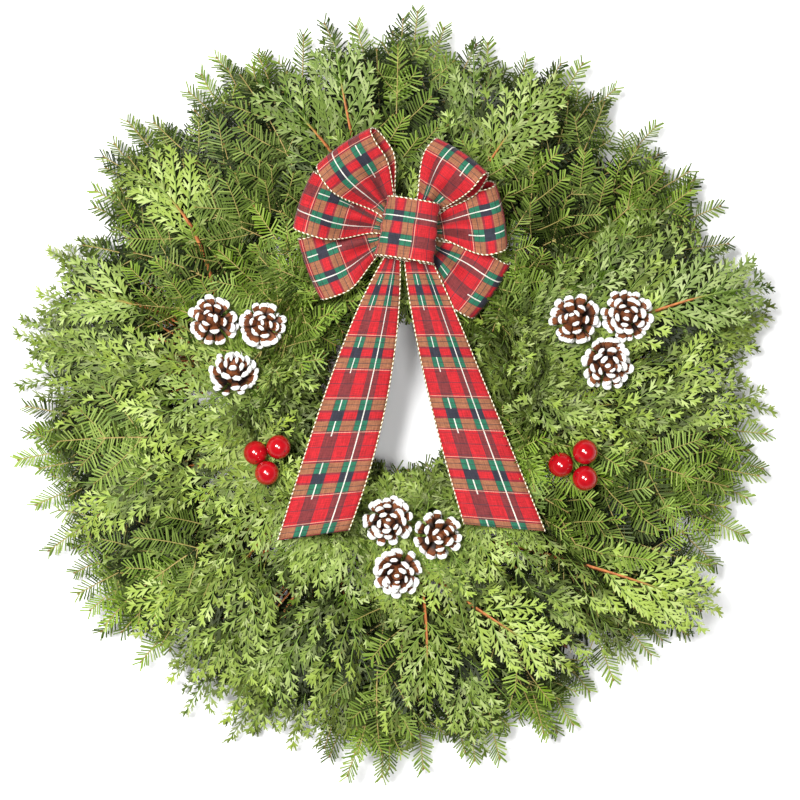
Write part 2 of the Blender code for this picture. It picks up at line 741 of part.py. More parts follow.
class Feather:
    """A slim rib with a bare stem and pointed needles or leaflets cut in to it on both sides."""

    def __init__(self, path, aside, roll, pitch, tooth, forward, bare, luck, room):
        self.path = path
        self.aside = aside
        self.roll = math.radians(roll)
        self.pitch = pitch
        self.tooth = tooth
        self.forward = math.radians(forward)
        self.bare = bare
        self.luck = luck
        self.room = room

    def stations(self):
        """Points along the rib: three for the bare stem, then one every pitch."""
        length = 0.0
        last = bezier(self.path, 0)
        for i in range(1, 41):
            here = bezier(self.path, i / 40)
            length += (here - last).length
            last = here
        shares = [0.0, self.bare * 0.5, self.bare]
        count = max(2, round(length * (1 - self.bare) / self.pitch))
        shares += [self.bare + (1 - self.bare) * (i + 1) / count for i in range(count)]
        return shares, count

    def data(self, short=frozenset()):
        """Points, faces and the faces of each tooth, teeth in `short` cut down to stubs."""
        shares, count = self.stations()
        points, faces, teeth = [], [], []
        frames = []
        side = self.aside
        for share in shares:
            centre = bezier(self.path, share)
            ahead = (bezier(self.path, share + 0.01) - bezier(self.path, share - 0.01)).normalized()
            side = (side - ahead * side.dot(ahead)).normalized()
            up = side.cross(ahead).normalized()
            turn = Matrix.Rotation(self.roll * smoothstep(share / max(self.bare, 0.01)), 3, ahead)
            frames.append((centre, ahead, turn @ side, turn @ up))
        for step, (centre, _, side, up) in enumerate(frames):
            slim = mix(1.0, 0.45, step / len(frames))
            points += [
                centre - side * RIB_HALF_WIDTH * slim * 1.1,
                centre + up * RIB_HEIGHT * slim,
                centre + side * RIB_HALF_WIDTH * slim * 1.1,
            ]
        last = frames[-1]
        tip = len(points)
        points.append(last[0] + last[1] * self.tooth * 0.55 + last[3] * 0.0004)
        faces.append((0, 1, 2))
        for step in range(len(frames) - 1):
            left, top, right = 3 * step, 3 * step + 1, 3 * step + 2
            next_left, next_top, next_right = left + 3, top + 3, right + 3
            faces.append((left, right, next_right, next_left))
            if step < 2:
                faces.append((left, next_left, next_top, top))
                faces.append((top, next_top, next_right, right))
                continue
            number = step - 2
            share = (number + 0.5) / count
            for sign, low, high in ((-1, left, next_left), (1, right, next_right)):
                centre, ahead, side, up = frames[step]
                key = (number, sign)
                reach = self.tooth * self.profile(share) * self.luck_at(number, sign)
                if key in short:
                    reach = LEAST_TOOTH
                middle = mix(frames[step][0], frames[step + 1][0], 0.5)
                out = side * sign * math.sin(self.forward) + ahead * math.cos(self.forward)
                rise = up * reach * 0.10 * (1 if (number + (sign > 0)) % 2 else -0.6)
                index = len(points)
                points.append(middle + out * reach + rise)
                begin = len(faces)
                faces += [(low, top, index), (top, next_top, index)]
                faces += [(next_top, high, index), (high, low, index)]
                teeth.append((key, range(begin, begin + 4)))
        left = 3 * (len(frames) - 1)
        top, right = left + 1, left + 2
        faces += [(left, top, tip), (top, right, tip), (right, left, tip)]
        ready = [self.room(p) for p in points]
        return ready, faces, teeth

    def profile(self, share):
        """Relative tooth length along the rib, shorter at the root and the tip."""
        if self.tooth > FIR_NEEDLE * 1.3:
            start = mix(0.62, 1.0, smoothstep(share / 0.3))
            return start * mix(1.0, 0.38, smoothstep((share - 0.35) / 0.65))
        start = mix(0.8, 1.0, smoothstep(share / 0.25))
        return start * mix(1.0, 0.7, smoothstep((share - 0.6) / 0.4))

    def luck_at(self, number, sign):
        """Small steady variation of one tooth."""
        return 0.92 + 0.16 * ((self.luck * 7.13 + number * 0.618 + (sign > 0) * 0.37) % 1.0)


def hits(points, faces, obstacle):
    """Indices of faces that cross the obstacle."""
    tree = BVHTree.FromPolygons([tuple(p) for p in points], faces)
    return {pair[0] for pair in tree.overlap(obstacle)}


def trimmed(feather, obstacle):
    """Feather data with teeth that meet an obstacle cut to stubs, and whether the rib is clear."""
    points, faces, teeth = feather.data()
    crossed = hits(points, faces, obstacle)
    if not crossed:
        return points, faces, 0, True
    short = {key for key, span in teeth if crossed & set(span)}
    points, faces, teeth = feather.data(frozenset(short))
    return points, faces, len(short), not hits(points, faces, obstacle)


def obstacle_tree(objects, grow):
    """One tree of every listed object, each point moved out along its normal by grow."""
    points, faces = [], []
    for obj in objects:
        start = len(points)
        points += [tuple(v.co + v.normal * grow) for v in obj.data.vertices]
        faces += [tuple(start + i for i in poly.vertices) for poly in obj.data.polygons]
    return BVHTree.FromPolygons(points, faces)


def branch_paths(upper, luck):
    """A bunch's sprays: bend and tip as out, across, height, then bare share, roll, inner or not."""
    wave = luck.uniform
    drift = wave(-8, 8) * 1e-3
    if not upper:
        bend = wave(-4, 4) * 1e-3
        reach = 0.3755 + wave(-0.005, 0.002)
        rows = [((0.225, bend, 0.058), (reach, drift, 0.020), 0.40, wave(-12, 12), False)]
        reach = 0.334 + wave(-8, 8) * 1e-3
        rows.append(((0.212, 0.012, 0.050), (reach, 0.052, 0.018), 0.46, wave(-5, 20), False))
        reach = 0.334 + wave(-8, 8) * 1e-3
        rows.append(((0.212, -0.010, 0.050), (reach, -0.052, 0.018), 0.46, wave(-20, 5), False))
        reach, sway = 0.080 + wave(-3, 4) * 1e-3, wave(-4, 4) * 1e-3
        rows.append(((0.116, 0.0, 0.042), (reach, sway, 0.016), 0.35, wave(-15, 15), True))
        return rows
    reach = 0.318 + wave(-10, 14) * 1e-3
    rows = [((0.187, 0.006, 0.108), (reach, 0.026, 0.048), 0.42, wave(-4, 16), False)]
    reach = 0.276 + wave(-8, 10) * 1e-3
    rows.append(((0.184, -0.008, 0.102), (reach, -0.032, 0.056), 0.46, wave(-16, 4), False))
    reach = 0.208 + wave(-6, 6) * 1e-3
    rows.append(((0.128, 0.0, 0.125), (reach, drift, 0.082), 0.50, wave(-10, 10), True))
    reach, sway = 0.078 + wave(-3, 6) * 1e-3, wave(-3, 3) * 1e-3
    rows.append(((0.134, 0.0, 0.090), (reach, sway, 0.048), 0.45, wave(-15, 15), True))
    return rows


def build_bunch(name, kind, angle, upper, obstacle, surface, seed):
    """One clamped bunch, grown again from another seed until it fuses into one sound body."""
    for attempt in range(8):
        luck = random.Random(seed + 1000 * attempt)
        bunch = grow_bunch(name, kind, angle, upper, obstacle, surface, luck)
        if is_sound(bunch):
            break
        bpy.data.objects.remove(bunch, do_unlink=True)
    return bunch


def grow_bunch(name, kind, angle, upper, obstacle, surface, luck):
    """The cut stems of a bunch as a core, with its sprays fused on, clear of obstacles."""
    ahead = polar(1.0, angle)
    aside = Vector((-ahead.y, ahead.x, 0))
    turn_to_clamp = 90.0 / BUNCHES_PER_LAYER * (-1 if upper else 1)
    core_ahead = polar(1.0, angle + turn_to_clamp)
    core_aside = Vector((-core_ahead.y, core_ahead.x, 0)) * CORE_OFFSET * (1 if upper else -1)

    def world(spot):
        return ahead * spot[0] + aside * spot[1] + Vector((0, 0, spot[2]))

    def in_core(out):
        return core_ahead * out + core_aside + Vector((0, 0, CORE_HEIGHT))

    core_path = [in_core(out) for out in CORE_SPAN]
    core = mesh_object(name, *tube_data(core_path, CORE_RADIUS, CORE_SIDES), surface)
    pitch, tooth, forward = CEDAR_PITCH, CEDAR_LEAFLET, CEDAR_FORWARD
    if kind == FIR:
        pitch, tooth, forward = FIR_PITCH, FIR_NEEDLE, FIR_FORWARD
    pieces = []
    for bend, tip, bare, roll, inner in branch_paths(upper, luck):
        start = in_core(CORE_SPAN[0] + 0.006 if inner else CORE_SPAN[1] - 0.006)
        size = 0.75 if tip[0] < CORE_SPAN[0] and kind == CEDAR else 1.0
        best = None
        for attempt in range(TRIES):
            sway = 0.0 if attempt == 0 else luck.uniform(-0.012, 0.012)
            bob = 0.0 if attempt == 0 else luck.uniform(-0.012, 0.006)
            moved = world((tip[0], tip[1] + sway, tip[2] + bob))
            bent = world((bend[0], bend[1] + sway / 2, bend[2] + bob / 2))
            free = core_room(angle, upper, start)
            feather = Feather([start, bent, moved], aside, roll, pitch, tooth * size, forward, bare,
                              luck.random(), free)
            points, faces, cut, clear = trimmed(feather, obstacle)
            if clear and (best is None or cut < best[0]):
                best = (cut, points, faces)
            if best is not None and best[0] <= 1:
                break
        if best is None:
            continue
        pieces.append(mesh_object("spray", best[1], best[2], surface))
    return fuse(core, pieces, use_self=True)


def core_room(angle, upper, start):
    """Room rule of a bunch: free close to its own clamp, its own wedge elsewhere."""

    def rule(point):
        near = (Vector((point.x, point.y)) - Vector((start.x, start.y))).length
        if near < (0.030 if upper else 0.010):
            return Vector((point.x, point.y, max(point.z, FLOOR_CLEAR)))
        return wedge_point(point, angle, upper)

    return rule


def build_greens(fir, cedar, obstacles):
    """Both layers of bunches round the ring."""
    step = 360.0 / BUNCHES_PER_LAYER
    counts = {FIR: 0, CEDAR: 0}
    made = []
    tree = obstacle_tree(obstacles, 0.0007)
    for upper, kinds in ((False, LOWER_KINDS), (True, UPPER_KINDS)):
        for i, kind in enumerate(kinds):
            angle = FIRST_BUNCH_ANGLE + (i + 0.5 * upper) * step
            counts[kind] += 1
            name = f"{kind}_bunch_{counts[kind]:02d}"
            surface = fir if kind == FIR else cedar
            seed = SEED + 100 * upper + i
            made.append(build_bunch(name, kind, angle, upper, tree, surface, seed))
    return made


def main():
    """Build every piece of the wreath."""
    remove_start_objects()
    fir = material("fir_needles", (0.085, 0.165, 0.028), 0.55)
    cedar = material("cedar_leaves", (0.235, 0.385, 0.062), 0.5)
    ribbon = material("plaid_ribbon", (0.62, 0.035, 0.030), 0.7)
    scale = material("cone_scales", (0.235, 0.085, 0.035), 0.65)
    berry = material("glossy_berry", (0.50, 0.008, 0.012), 0.12)
    steel = material("ring_steel", (0.055, 0.085, 0.050), 0.45, 0.6)
    wire = material("florist_wire", (0.10, 0.13, 0.08), 0.5, 0.5)
    ring = build_ring(steel)
    bow = build_bow(ribbon, wire)
    cones = build_cones(scale, wire)
    berries = build_berries(berry, wire)
    build_greens(fir, cedar, [ring] + bow + cones + berries)


main()
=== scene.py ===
"""Looks of an evergreen wreath with a plaid bow, white-tipped cones and red berries.

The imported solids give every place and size, in metres, with +Z out of the wreath's face and
+Y towards the bow. The greens, the ribbon, the cones and the berries are rebuilt here in fine
pieces that keep the form of the solids they stand for.
"""

from __future__ import annotations

import json
import logging
import math
import random
from collections.abc import Callable
from dataclasses import dataclass, field
from enum import Enum
from functools import partial

import bpy
import numpy as np
from mathutils import Matrix, Vector

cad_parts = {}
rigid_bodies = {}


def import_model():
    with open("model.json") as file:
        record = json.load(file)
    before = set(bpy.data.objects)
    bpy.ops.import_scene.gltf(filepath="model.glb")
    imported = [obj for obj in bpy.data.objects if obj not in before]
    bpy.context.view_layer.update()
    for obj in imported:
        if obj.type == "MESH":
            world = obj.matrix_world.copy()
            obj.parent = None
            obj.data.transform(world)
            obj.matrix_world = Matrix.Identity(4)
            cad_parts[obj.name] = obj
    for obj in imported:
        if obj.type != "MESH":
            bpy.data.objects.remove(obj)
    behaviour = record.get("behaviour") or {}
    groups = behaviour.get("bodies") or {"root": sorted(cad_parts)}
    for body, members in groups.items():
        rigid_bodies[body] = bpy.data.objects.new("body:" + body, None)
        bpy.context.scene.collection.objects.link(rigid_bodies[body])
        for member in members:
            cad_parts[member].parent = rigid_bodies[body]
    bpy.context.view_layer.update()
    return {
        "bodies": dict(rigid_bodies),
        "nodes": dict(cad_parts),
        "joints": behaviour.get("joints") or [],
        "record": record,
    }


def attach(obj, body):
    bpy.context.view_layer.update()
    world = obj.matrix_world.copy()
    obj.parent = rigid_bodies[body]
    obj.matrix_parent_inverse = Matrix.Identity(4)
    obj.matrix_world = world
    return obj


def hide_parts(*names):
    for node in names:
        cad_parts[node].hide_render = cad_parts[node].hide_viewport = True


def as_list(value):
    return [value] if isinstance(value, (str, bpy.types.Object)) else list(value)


LOG = logging.getLogger("wreath")
SEED = 4102
MM_PER_M = 1000.0
Grid = list[list[Vector]]
Rgba = tuple[float, float, float, float]
Tree = bpy.types.NodeTree
Socket = bpy.types.NodeSocket
Material = bpy.types.Material
Piece = bpy.types.Object
Sockets = bpy.types.NodeOutputs
Add = Callable[..., Socket]
# Types of node that recur, two of them with their operation: a product, and value * slope + start
TIMES = "ShaderNodeMath MULTIPLY"
LINE = "ShaderNodeMath MULTIPLY_ADD"
MIX = "ShaderNodeMix"
COLOURS = {"out": 2, "data_type": "RGBA"}
NOISE = "ShaderNodeTexNoise"
MARK = "ShaderNodeAttribute"
STORED = "GeometryNodeInputNamedAttribute"
CHANCE = "FunctionNodeRandomValue"


def srgb(code: str) -> Rgba:
    """Turn an sRGB hex colour such as #7FA63A into linear red, green, blue and alpha."""
    shares = [int(code[i : i + 2], 16) / 255 for i in (1, 3, 5)]
    linear = [c / 12.92 if c <= 0.04045 else ((c + 0.055) / 1.055) ** 2.4 for c in shares]
    return (linear[0], linear[1], linear[2], 1.0)


def fill(tree: Tree, node: bpy.types.Node, inputs: dict) -> None:
    """Set or link a node's inputs.

    Args:
        tree: the node tree that the node is in.
        node: the node.
        inputs: what each input takes, by its name or number: a value, a socket, a list of sockets
            or an sRGB hex colour.
    """
    for key, value in inputs.items():
        if isinstance(value, str) and value.startswith("#"):
            value = srgb(value)
        for one in value if isinstance(value, list) else [value]:
            if isinstance(one, Socket):
                tree.links.new(one, node.inputs[key])
            else:
                node.inputs[key].default_value = one


def add_node(tree: Tree, kind: str, *values, out: int | str | None = 0, **settings) -> Socket | Sockets:
    """Add a node with its settings and links.

    Args:
        tree: the node tree that the node goes into.
        kind: the node's type name, with its operation after a space where it has one.
        values: its inputs in order, or one dict of them by name or number.
        out: the output socket wanted, by name or number, or None for all of them.
        settings: other properties of the node and their values.

    Returns:
        The output socket, or all of them.
    """
    name, _, operation = kind.partition(" ")
    node = tree.nodes.new(name)
    if operation:
        settings["operation"] = operation
    for key, value in settings.items():
        setattr(node, key, value)
    named = bool(values) and isinstance(values[0], dict)
    fill(tree, node, values[0] if named else dict(enumerate(values)))
    return node.outputs if out is None else node.outputs[out]


def smoothstep(value: float) -> float:
    """Ease from 0 to 1 with flat ends."""
    value = min(max(value, 0.0), 1.0)
    return value * value * (3 - 2 * value)


def mix(a: float | Vector, b: float | Vector, share: float) -> float | Vector:
    """Linear blend of two numbers or two vectors."""
    return a * (1 - share) + b * share


def bezier(points: tuple | list, share: float) -> Vector:
    """Point of a quadratic or cubic curve at a share of its run.

    Args:
        points: the curve's control points.
        share: share of its run, 0 to 1.

    Returns:
        The point.
    """
    row = [Vector(p) for p in points]
    while len(row) > 1:
        row = [mix(a, b, share) for a, b in zip(row, row[1:])]
    return row[0]


def polar(radius: float, angle: float, height: float = 0.0) -> Vector:
    """Point at an angle in degrees round the wreath's centre."""
    turn = math.radians(angle)
    return Vector((radius * math.cos(turn), radius * math.sin(turn), height))


# Finishes


@dataclass(frozen=True)
class Surface:
    """What every finish shares: a name, a way to start the material and a way to end it."""

    name: str

    def start(self) -> tuple[Material, Add, Socket]:
        """Make an empty material.

        Returns:
            The material, what adds a node to it, and the object's own coordinates.
        """
        made = bpy.data.materials.new(self.name)
        made.use_nodes = True
        add = partial(add_node, made.node_tree)
        return made, add, add("ShaderNodeTexCoord", out="Object")

    def end(self, made: Material, inputs: dict, relief: tuple | None = None) -> Material:
        """Set the shader's inputs and its fine relief.

        Args:
            made: the material.
            inputs: values and links of the shader.
            relief: the height, the strength and the depth in metres of the relief, if it has one.

        Returns:
            The finished material.
        """
        tree = made.node_tree
        if relief is not None:
            values = dict(zip(("Height", "Strength", "Distance"), relief))
            inputs = {**inputs, "Normal": add_node(tree, "ShaderNodeBump", values)}
        fill(tree, tree.nodes["Principled BSDF"], inputs)
        return made


@dataclass(frozen=True)
class LeafFinish(Surface):
    """Living conifer leaf: a waxy green skin, lighter on new growth and paler underneath, with painted
    shade darkening the leaves deep in a bunch.
    """

    deep: str = "#24380A"
    bright: str = "#7A9A24"
    tip: str = "#B6C670"
    under: str = "#7C9444"
    shaded: str = "#0C1405"
    roughness: float = 0.36
    patch_mm: float = 26.0
    grain_mm: float = 1.1111

    def build(self) -> Material:
        """Make the material from the leaf's own tone, luck, underside and depth, the depth setting its
        painted shade.
        """
        made, add, coords = self.start()
        # A waxy cuticle over chlorophyll: colour changes from spray to spray and leaf to leaf.
        tone, luck, under, depth = (
            add(MARK, out="Fac", attribute_name=name) for name in ("tone", "luck", "under", "depth")
        )
        patches = add(NOISE, {"Vector": coords, "Scale": MM_PER_M / self.patch_mm, "Detail": 3.0})
        share = add(LINE, tone, 0.85, add(TIMES, luck, 0.30))
        share = add(LINE, patches, 0.5, add("ShaderNodeMath SUBTRACT", share, 0.30), use_clamp=True)
        colour = add(MIX, {0: share, 6: self.deep, 7: self.bright}, **COLOURS)
        fresh = add(TIMES, add("ShaderNodeMath POWER", luck, 2.5), 0.48)
        colour = add(MIX, {0: fresh, 6: colour, 7: self.tip}, **COLOURS)
        colour = add(MIX, {0: add(TIMES, under, 0.35), 6: colour, 7: self.under}, **COLOURS)
        # Painted shade: leaves deep in the bunch, where little light reaches, are darkened towards the
        # shaded colour.
        painted_shade = add(LINE, depth, -1.0, 0.96, use_clamp=True)
        colour = add(MIX, {0: painted_shade, 6: colour, 7: self.shaded}, **COLOURS)
        grain = add(NOISE, {"Vector": coords, "Scale": MM_PER_M / self.grain_mm})
        rough = add(LINE, grain, 0.22, self.roughness)
        inputs = {"Base Color": colour, "Roughness": rough, "IOR": 1.42, "Specular IOR Level": 0.14}
        return self.end(made, inputs, (grain, 0.25, 0.0004))


@dataclass(frozen=True)
class BarkFinish(Surface):
    """Thin young bark with darker blotches, green where it is this year's."""

    light: str
    dark: str
    fresh: str = "#6F8A36"
    blotch_mm: float = 3.8462

    def build(self) -> Material:
        """Make the material."""
        made, add, coords = self.start()
        # Young bark is matt, and blotched every few millimetres.
        blotch = add(NOISE, {"Vector": coords, "Scale": MM_PER_M / self.blotch_mm, "Detail": 4.0})
        share = add(LINE, blotch, 2.2, -0.6, use_clamp=True)
        bark = add(MIX, {0: share, 6: self.dark, 7: self.light}, **COLOURS)
        green = add(MARK, out="Fac", attribute_name="green")
        colour = add(MIX, {0: green, 6: bark, 7: self.fresh}, **COLOURS)
        return self.end(made, {"Base Color": colour, "Roughness": 0.68}, (blotch, 0.4, 0.0006))


@dataclass(frozen=True)
class PlaidFinish(Surface):
    """Woven plaid ribbon: red and green warp crossed by red and green weft with fine lines.

    Every band and line is given as limits in shares, of the width for those of the warp and of
    one repeat for those of the weft.
    """

    red: str = "#BA1C25"
    brown: str = "#762C2E"
    tan: str = "#986244"
    green: str = "#13694E"
    dark: str = "#232C38"
    shadow: str = "#3A1414"
    silver: str = "#E9E6DA"
    gold: str = "#E6BCA0"
    thread: float = 0.001
    width: float = 0.0635
    repeat: float = 0.064
    warp: tuple = ((0.21, 0.39), (0.60, 0.78))
    weft: tuple = ((0.025, 0.19), (0.36, 0.52))
    between: tuple = ((0.19, 0.36),)
    soft_lines: tuple = ((0.19, 0.222), (0.326, 0.36), (0.945, 0.957), (0.585, 0.596))
    weft_lines: tuple = (
        (0.005, 0.02), (0.100, 0.110), (0.436, 0.446), (0.522, 0.535), (0.765, 0.775),
    )
    warp_lines: tuple = ((0.203, 0.21), (0.39, 0.397), (0.593, 0.60), (0.78, 0.787))
    broken_line: tuple = ((0.292, 0.310),)
    broken_where: tuple = ((0.02, 0.20), (0.36, 0.60))
    silver_line: tuple = ((0.682, 0.700),)
    gold_lines: tuple = ((0.988, 1.0), (0.538, 0.550))
    slub_mm: float = 2.381

    def bands(self, add: Add, value: Socket, limits: tuple) -> Socket:
        """Mask that is 1 where a value lies within any of several pairs of limits.

        Args:
            add: what adds a node to the material.
            value: the socket of the value.
            limits: the low and the high limit of each band.

        Returns:
            The socket of the mask.
        """
        masks = []
        for low, high in limits:
            below = add("ShaderNodeMath LESS_THAN", value, high)
            masks.append(add(TIMES, add("ShaderNodeMath GREATER_THAN", value, low), below))
        total = masks[0]
        for mask in masks[1:]:
            total = add("ShaderNodeMath MAXIMUM", total, mask)
        return total

    def pattern(self, add: Add, across: Socket, along: Socket) -> Socket:
        """Colour of the plaid's bands and lines.

        Args:
            add: what adds a node to the material.
            across: place across the ribbon, 0 to 1.
            along: place along one repeat, 0 to 1.

        Returns:
            The socket of the colour.
        """
        warp, weft = self.bands(add, across, self.warp), self.bands(add, along, self.weft)
        between = self.bands(add, along, self.between)
        striped = add(MIX, {0: between, 6: self.brown, 7: self.dark}, **COLOURS)
        plain = add(MIX, {0: warp, 6: self.red, 7: striped}, **COLOURS)
        crossed = add(MIX, {0: warp, 6: self.tan, 7: self.green}, **COLOURS)
        colour = add(MIX, {0: weft, 6: plain, 7: crossed}, **COLOURS)
        soft = self.bands(add, along, self.soft_lines)
        hard = self.bands(add, across, self.warp_lines)
        hard = add("ShaderNodeMath MAXIMUM", self.bands(add, along, self.weft_lines), hard)
        gate = self.bands(add, along, self.broken_where)
        broken = add(TIMES, self.bands(add, across, self.broken_line), gate)
        silver = add("ShaderNodeMath MAXIMUM", broken, self.bands(add, across, self.silver_line))
        gold = self.bands(add, along, self.gold_lines)
        for mask, share, shade in (
            (soft, 0.5, self.dark), (hard, 0.8, self.dark),
            (silver, 0.85, self.silver), (gold, 0.55, self.gold),
        ):
            colour = add(MIX, {0: add(TIMES, mask, share), 6: colour, 7: shade}, **COLOURS)
        return colour

    def build(self) -> Material:
        """Make the weave on the ribbon's own UV map: U across it, V along it in repeats."""
        made, add, coords = self.start()
        # Dyed polyester yarn: matt, with a crossing of threads that shows as fine ribs.
        uv = add("ShaderNodeUVMap", out="UV", uv_map="weave")
        parts = add("ShaderNodeSeparateXYZ", {0: uv}, out=None)
        across, run = parts["X"], parts["Y"]
        colour = self.pattern(add, across, add("ShaderNodeMath FRACT", run))
        # Real yarn is about 0.3 mm apart; it is drawn three times as coarse so that it shows.
        threads = 2 * math.pi / self.thread
        waves = [
            add("ShaderNodeMath SINE", add(TIMES, place, threads * size))
            for place, size in ((across, self.width), (run, self.repeat))
        ]
        weave = add(LINE, add(TIMES, *waves), 0.5, 0.5)
        colour = add(MIX, {0: add(TIMES, weave, 0.40), 6: colour, 7: self.shadow}, **COLOURS)
        slub = add(NOISE, {"Vector": coords, "Scale": MM_PER_M / self.slub_mm, "Detail": 4.0})
        streaks = []
        for stretch in ((95.0, 5.0, 1.0), (7.0, 95.0, 1.0)):
            drawn = add("ShaderNodeVectorMath", {0: uv, 1: stretch}, operation="MULTIPLY")
            streaks.append(add(NOISE, {"Vector": drawn, "Scale": 1.0}))
        shade = add(LINE, add("ShaderNodeMath ADD", *streaks), 1.5, -0.66)
        shade = add(LINE, slub, 0.3, shade)
        inputs = {
            "Base Color": add("ShaderNodeHueSaturation", {"Color": colour, "Value": shade}),
            "Roughness": add(LINE, slub, 0.2, 0.62),
            "Specular IOR Level": 0.25,
            "Sheen Weight": 0.08,
            "Sheen Roughness": 0.4,
        }
        return self.end(made, inputs, (weave, 0.5, 0.0003))


@dataclass(frozen=True)
class CordFinish(Surface):
    """Twisted edge cord of cream yarn with a metallic gold strand."""

    cream: str = "#EFE8CF"
    gold: str = "#7E6A3C"
    strand_mm: float = 0.4

    def build(self) -> Material:
        """Make the material from the strand that each point of the cord belongs to."""
        made, add, coords = self.start()
        # Metallic foil wound with cotton: half matt, half glinting.
        share = add(LINE, add(MARK, out="Fac", attribute_name="strand"), 3.0, -1.0, use_clamp=True)
        inputs = {
            "Base Color": add(MIX, {0: share, 6: self.gold, 7: self.cream}, **COLOURS),
            "Roughness": add(LINE, share, 0.25, 0.35),
            "Metallic": add(LINE, share, -0.5, 0.5),
        }
        fibre = add(NOISE, {"Vector": coords, "Scale": MM_PER_M / self.strand_mm})
        return self.end(made, inputs, (fibre, 0.4, 0.0002))


@dataclass(frozen=True)
class ConeFinish(Surface):
    """Dry woody cone scale, its tip dipped in thick white paint, its root darkened with painted shade."""

    wood: str = "#93501F"
    dark: str = "#3C1A0B"
    warm: str = "#B06A3E"
    root: str = "#1E0E08"
    paint: str = "#F6F6F4"
    streak_mm: float = 2.0833

    def build(self) -> Material:
        """Make the material from each scale's own paint and depth marks."""
        made, add, coords = self.start()
        # Wood fibre is matt with fine streaks; the paint is thick, satin and ragged at its edge.
        dipped, luck, snow = (
            add(MARK, out="Fac", attribute_name=name) for name in ("dipped", "luck", "snow")
        )
        ragged = add(NOISE, {"Vector": coords, "Scale": MM_PER_M / self.streak_mm, "Detail": 5.0})
        share = add(LINE, ragged, 1.6, -0.35, use_clamp=True)
        wood = add(MIX, {0: share, 6: self.dark, 7: self.wood}, **COLOURS)
        wood = add(MIX, {0: add(TIMES, luck, 0.25), 6: wood, 7: self.warm}, **COLOURS)
        # Painted shade: towards each scale's root, deep between the scales, the wood darkens to the root
        # colour.
        deep = add(TIMES, dipped, -0.95, use_clamp=True)
        wood = add(MIX, {0: deep, 6: wood, 7: self.root}, **COLOURS)
        edge = add(LINE, ragged, 0.90, add("ShaderNodeMath SUBTRACT", dipped, 1.40))
        paint = add(LINE, add(LINE, snow, 0.72, edge), 14.0, 0.5, use_clamp=True)
        inputs = {
            "Base Color": add(MIX, {0: paint, 6: wood, 7: self.paint}, **COLOURS),
            "Roughness": add(LINE, paint, -0.2, 0.66),
        }
        return self.end(made, inputs, (add(LINE, paint, 1.2, ragged), 0.5, 0.0005))


@dataclass(frozen=True)
class BerryFinish(Surface):
    """Lacquered moulded berry with a dark eye at its dimple."""

    skin: str = "#B40E19"
    deep: str = "#7C0610"
    eye: str = "#2A100C"
    mottle_mm: float = 7.6923
    grain_mm: float = 1.1111

    def build(self) -> Material:
        """Make the material from the height mark on each berry."""
        made, add, coords = self.start()
        # Clear lacquer over dyed foam: a sharp coat reflection on a slightly mottled skin.
        mottle = add(NOISE, {"Vector": coords, "Scale": MM_PER_M / self.mottle_mm, "Detail": 3.0})
        mottle = add(LINE, mottle, 1.4, -0.4, use_clamp=True)
        skin = add(MIX, {0: mottle, 6: self.skin, 7: self.deep}, **COLOURS)
        pole = add(MARK, out="Fac", attribute_name="pole")
        eye = add(LINE, add("ShaderNodeMath SUBTRACT", pole, 0.992), 150.0, 0.0, use_clamp=True)
        inputs = {
            "Base Color": add(MIX, {0: eye, 6: skin, 7: self.eye}, **COLOURS),
            "Roughness": add(LINE, eye, 0.5, 0.16),
            "Coat Weight": 0.7,
            "Coat Roughness": 0.05,
        }
        grain = add(NOISE, {"Vector": coords, "Scale": MM_PER_M / self.grain_mm})
        return self.end(made, inputs, (grain, 0.08, 0.0003))


@dataclass(frozen=True)
class WireFinish(Surface):
    """Steel wire or sheet with a baked green enamel, rubbed bare in spots."""

    enamel: str = "#2E4A30"
    bare: str = "#8C8E86"
    wear_mm: float = 3.125

    def build(self) -> Material:
        """Make the material."""
        made, add, coords = self.start()
        # Thin enamel flows smooth and wears through on bends and edges.
        wear = add(NOISE, {"Vector": coords, "Scale": MM_PER_M / self.wear_mm, "Detail": 6.0})
        worn = add(LINE, wear, 9.0, -5.6, use_clamp=True)
        inputs = {
            "Base Color": add(MIX, {0: worn, 6: self.enamel, 7: self.bare}, **COLOURS),
            "Metallic": worn,
            "Roughness": add(LINE, wear, 0.25, 0.28),
        }
        return self.end(made, inputs, (wear, 0.15, 0.0003))


@dataclass(frozen=True)
class PaperFinish(Surface):
    """Seamless white paper floor."""

    white: str = "#FBFBFB"
    tooth: str = "#E8EAEE"
    tooth_mm: float = 25.0

    def build(self) -> Material:
        """Make the material."""
        made, add, coords = self.start()
        # Matt coated paper with a hardly visible tooth.
        share = add(TIMES, add(NOISE, {"Vector": coords, "Scale": MM_PER_M / self.tooth_mm}), 0.04)
        colour = add(MIX, {0: share, 6: self.white, 7: self.tooth}, **COLOURS)
        return self.end(made, {"Base Color": colour, "Roughness": 0.9, "Specular IOR Level": 0.1})


# Shared mesh work


def new_object(name: str, data: bpy.types.ID) -> Piece:
    """Make an object at the origin and link it to the scene."""
    made = bpy.data.objects.new(name, data)
    bpy.context.scene.collection.objects.link(made)
    return made


def mesh_piece(
    name: str, points: list, faces: list, finish: Material | None = None, smooth: bool = False
) -> Piece:
    """Make a mesh object at the origin.

    Args:
        name: the object's name.
        points: places of its points.
        faces: point numbers of each face, wound outward.
        finish: its material.
        smooth: whether it is shaded smooth.

    Returns:
        The object, linked to the scene.
    """
    data = bpy.data.meshes.new(name)
    data.from_pydata([tuple(p) for p in points], [], faces)
    if finish is not None:
        data.materials.append(finish)
    if smooth:
        data.shade_smooth()
    return new_object(name, data)


def set_floats(data: bpy.types.Mesh, name: str, values: list | np.ndarray, domain: str = "POINT") -> None:
    """Store one number for each point or face of a mesh."""
    layer = data.attributes.new(name, "FLOAT", domain)
    layer.data.foreach_set("value", np.asarray(values, np.float32))


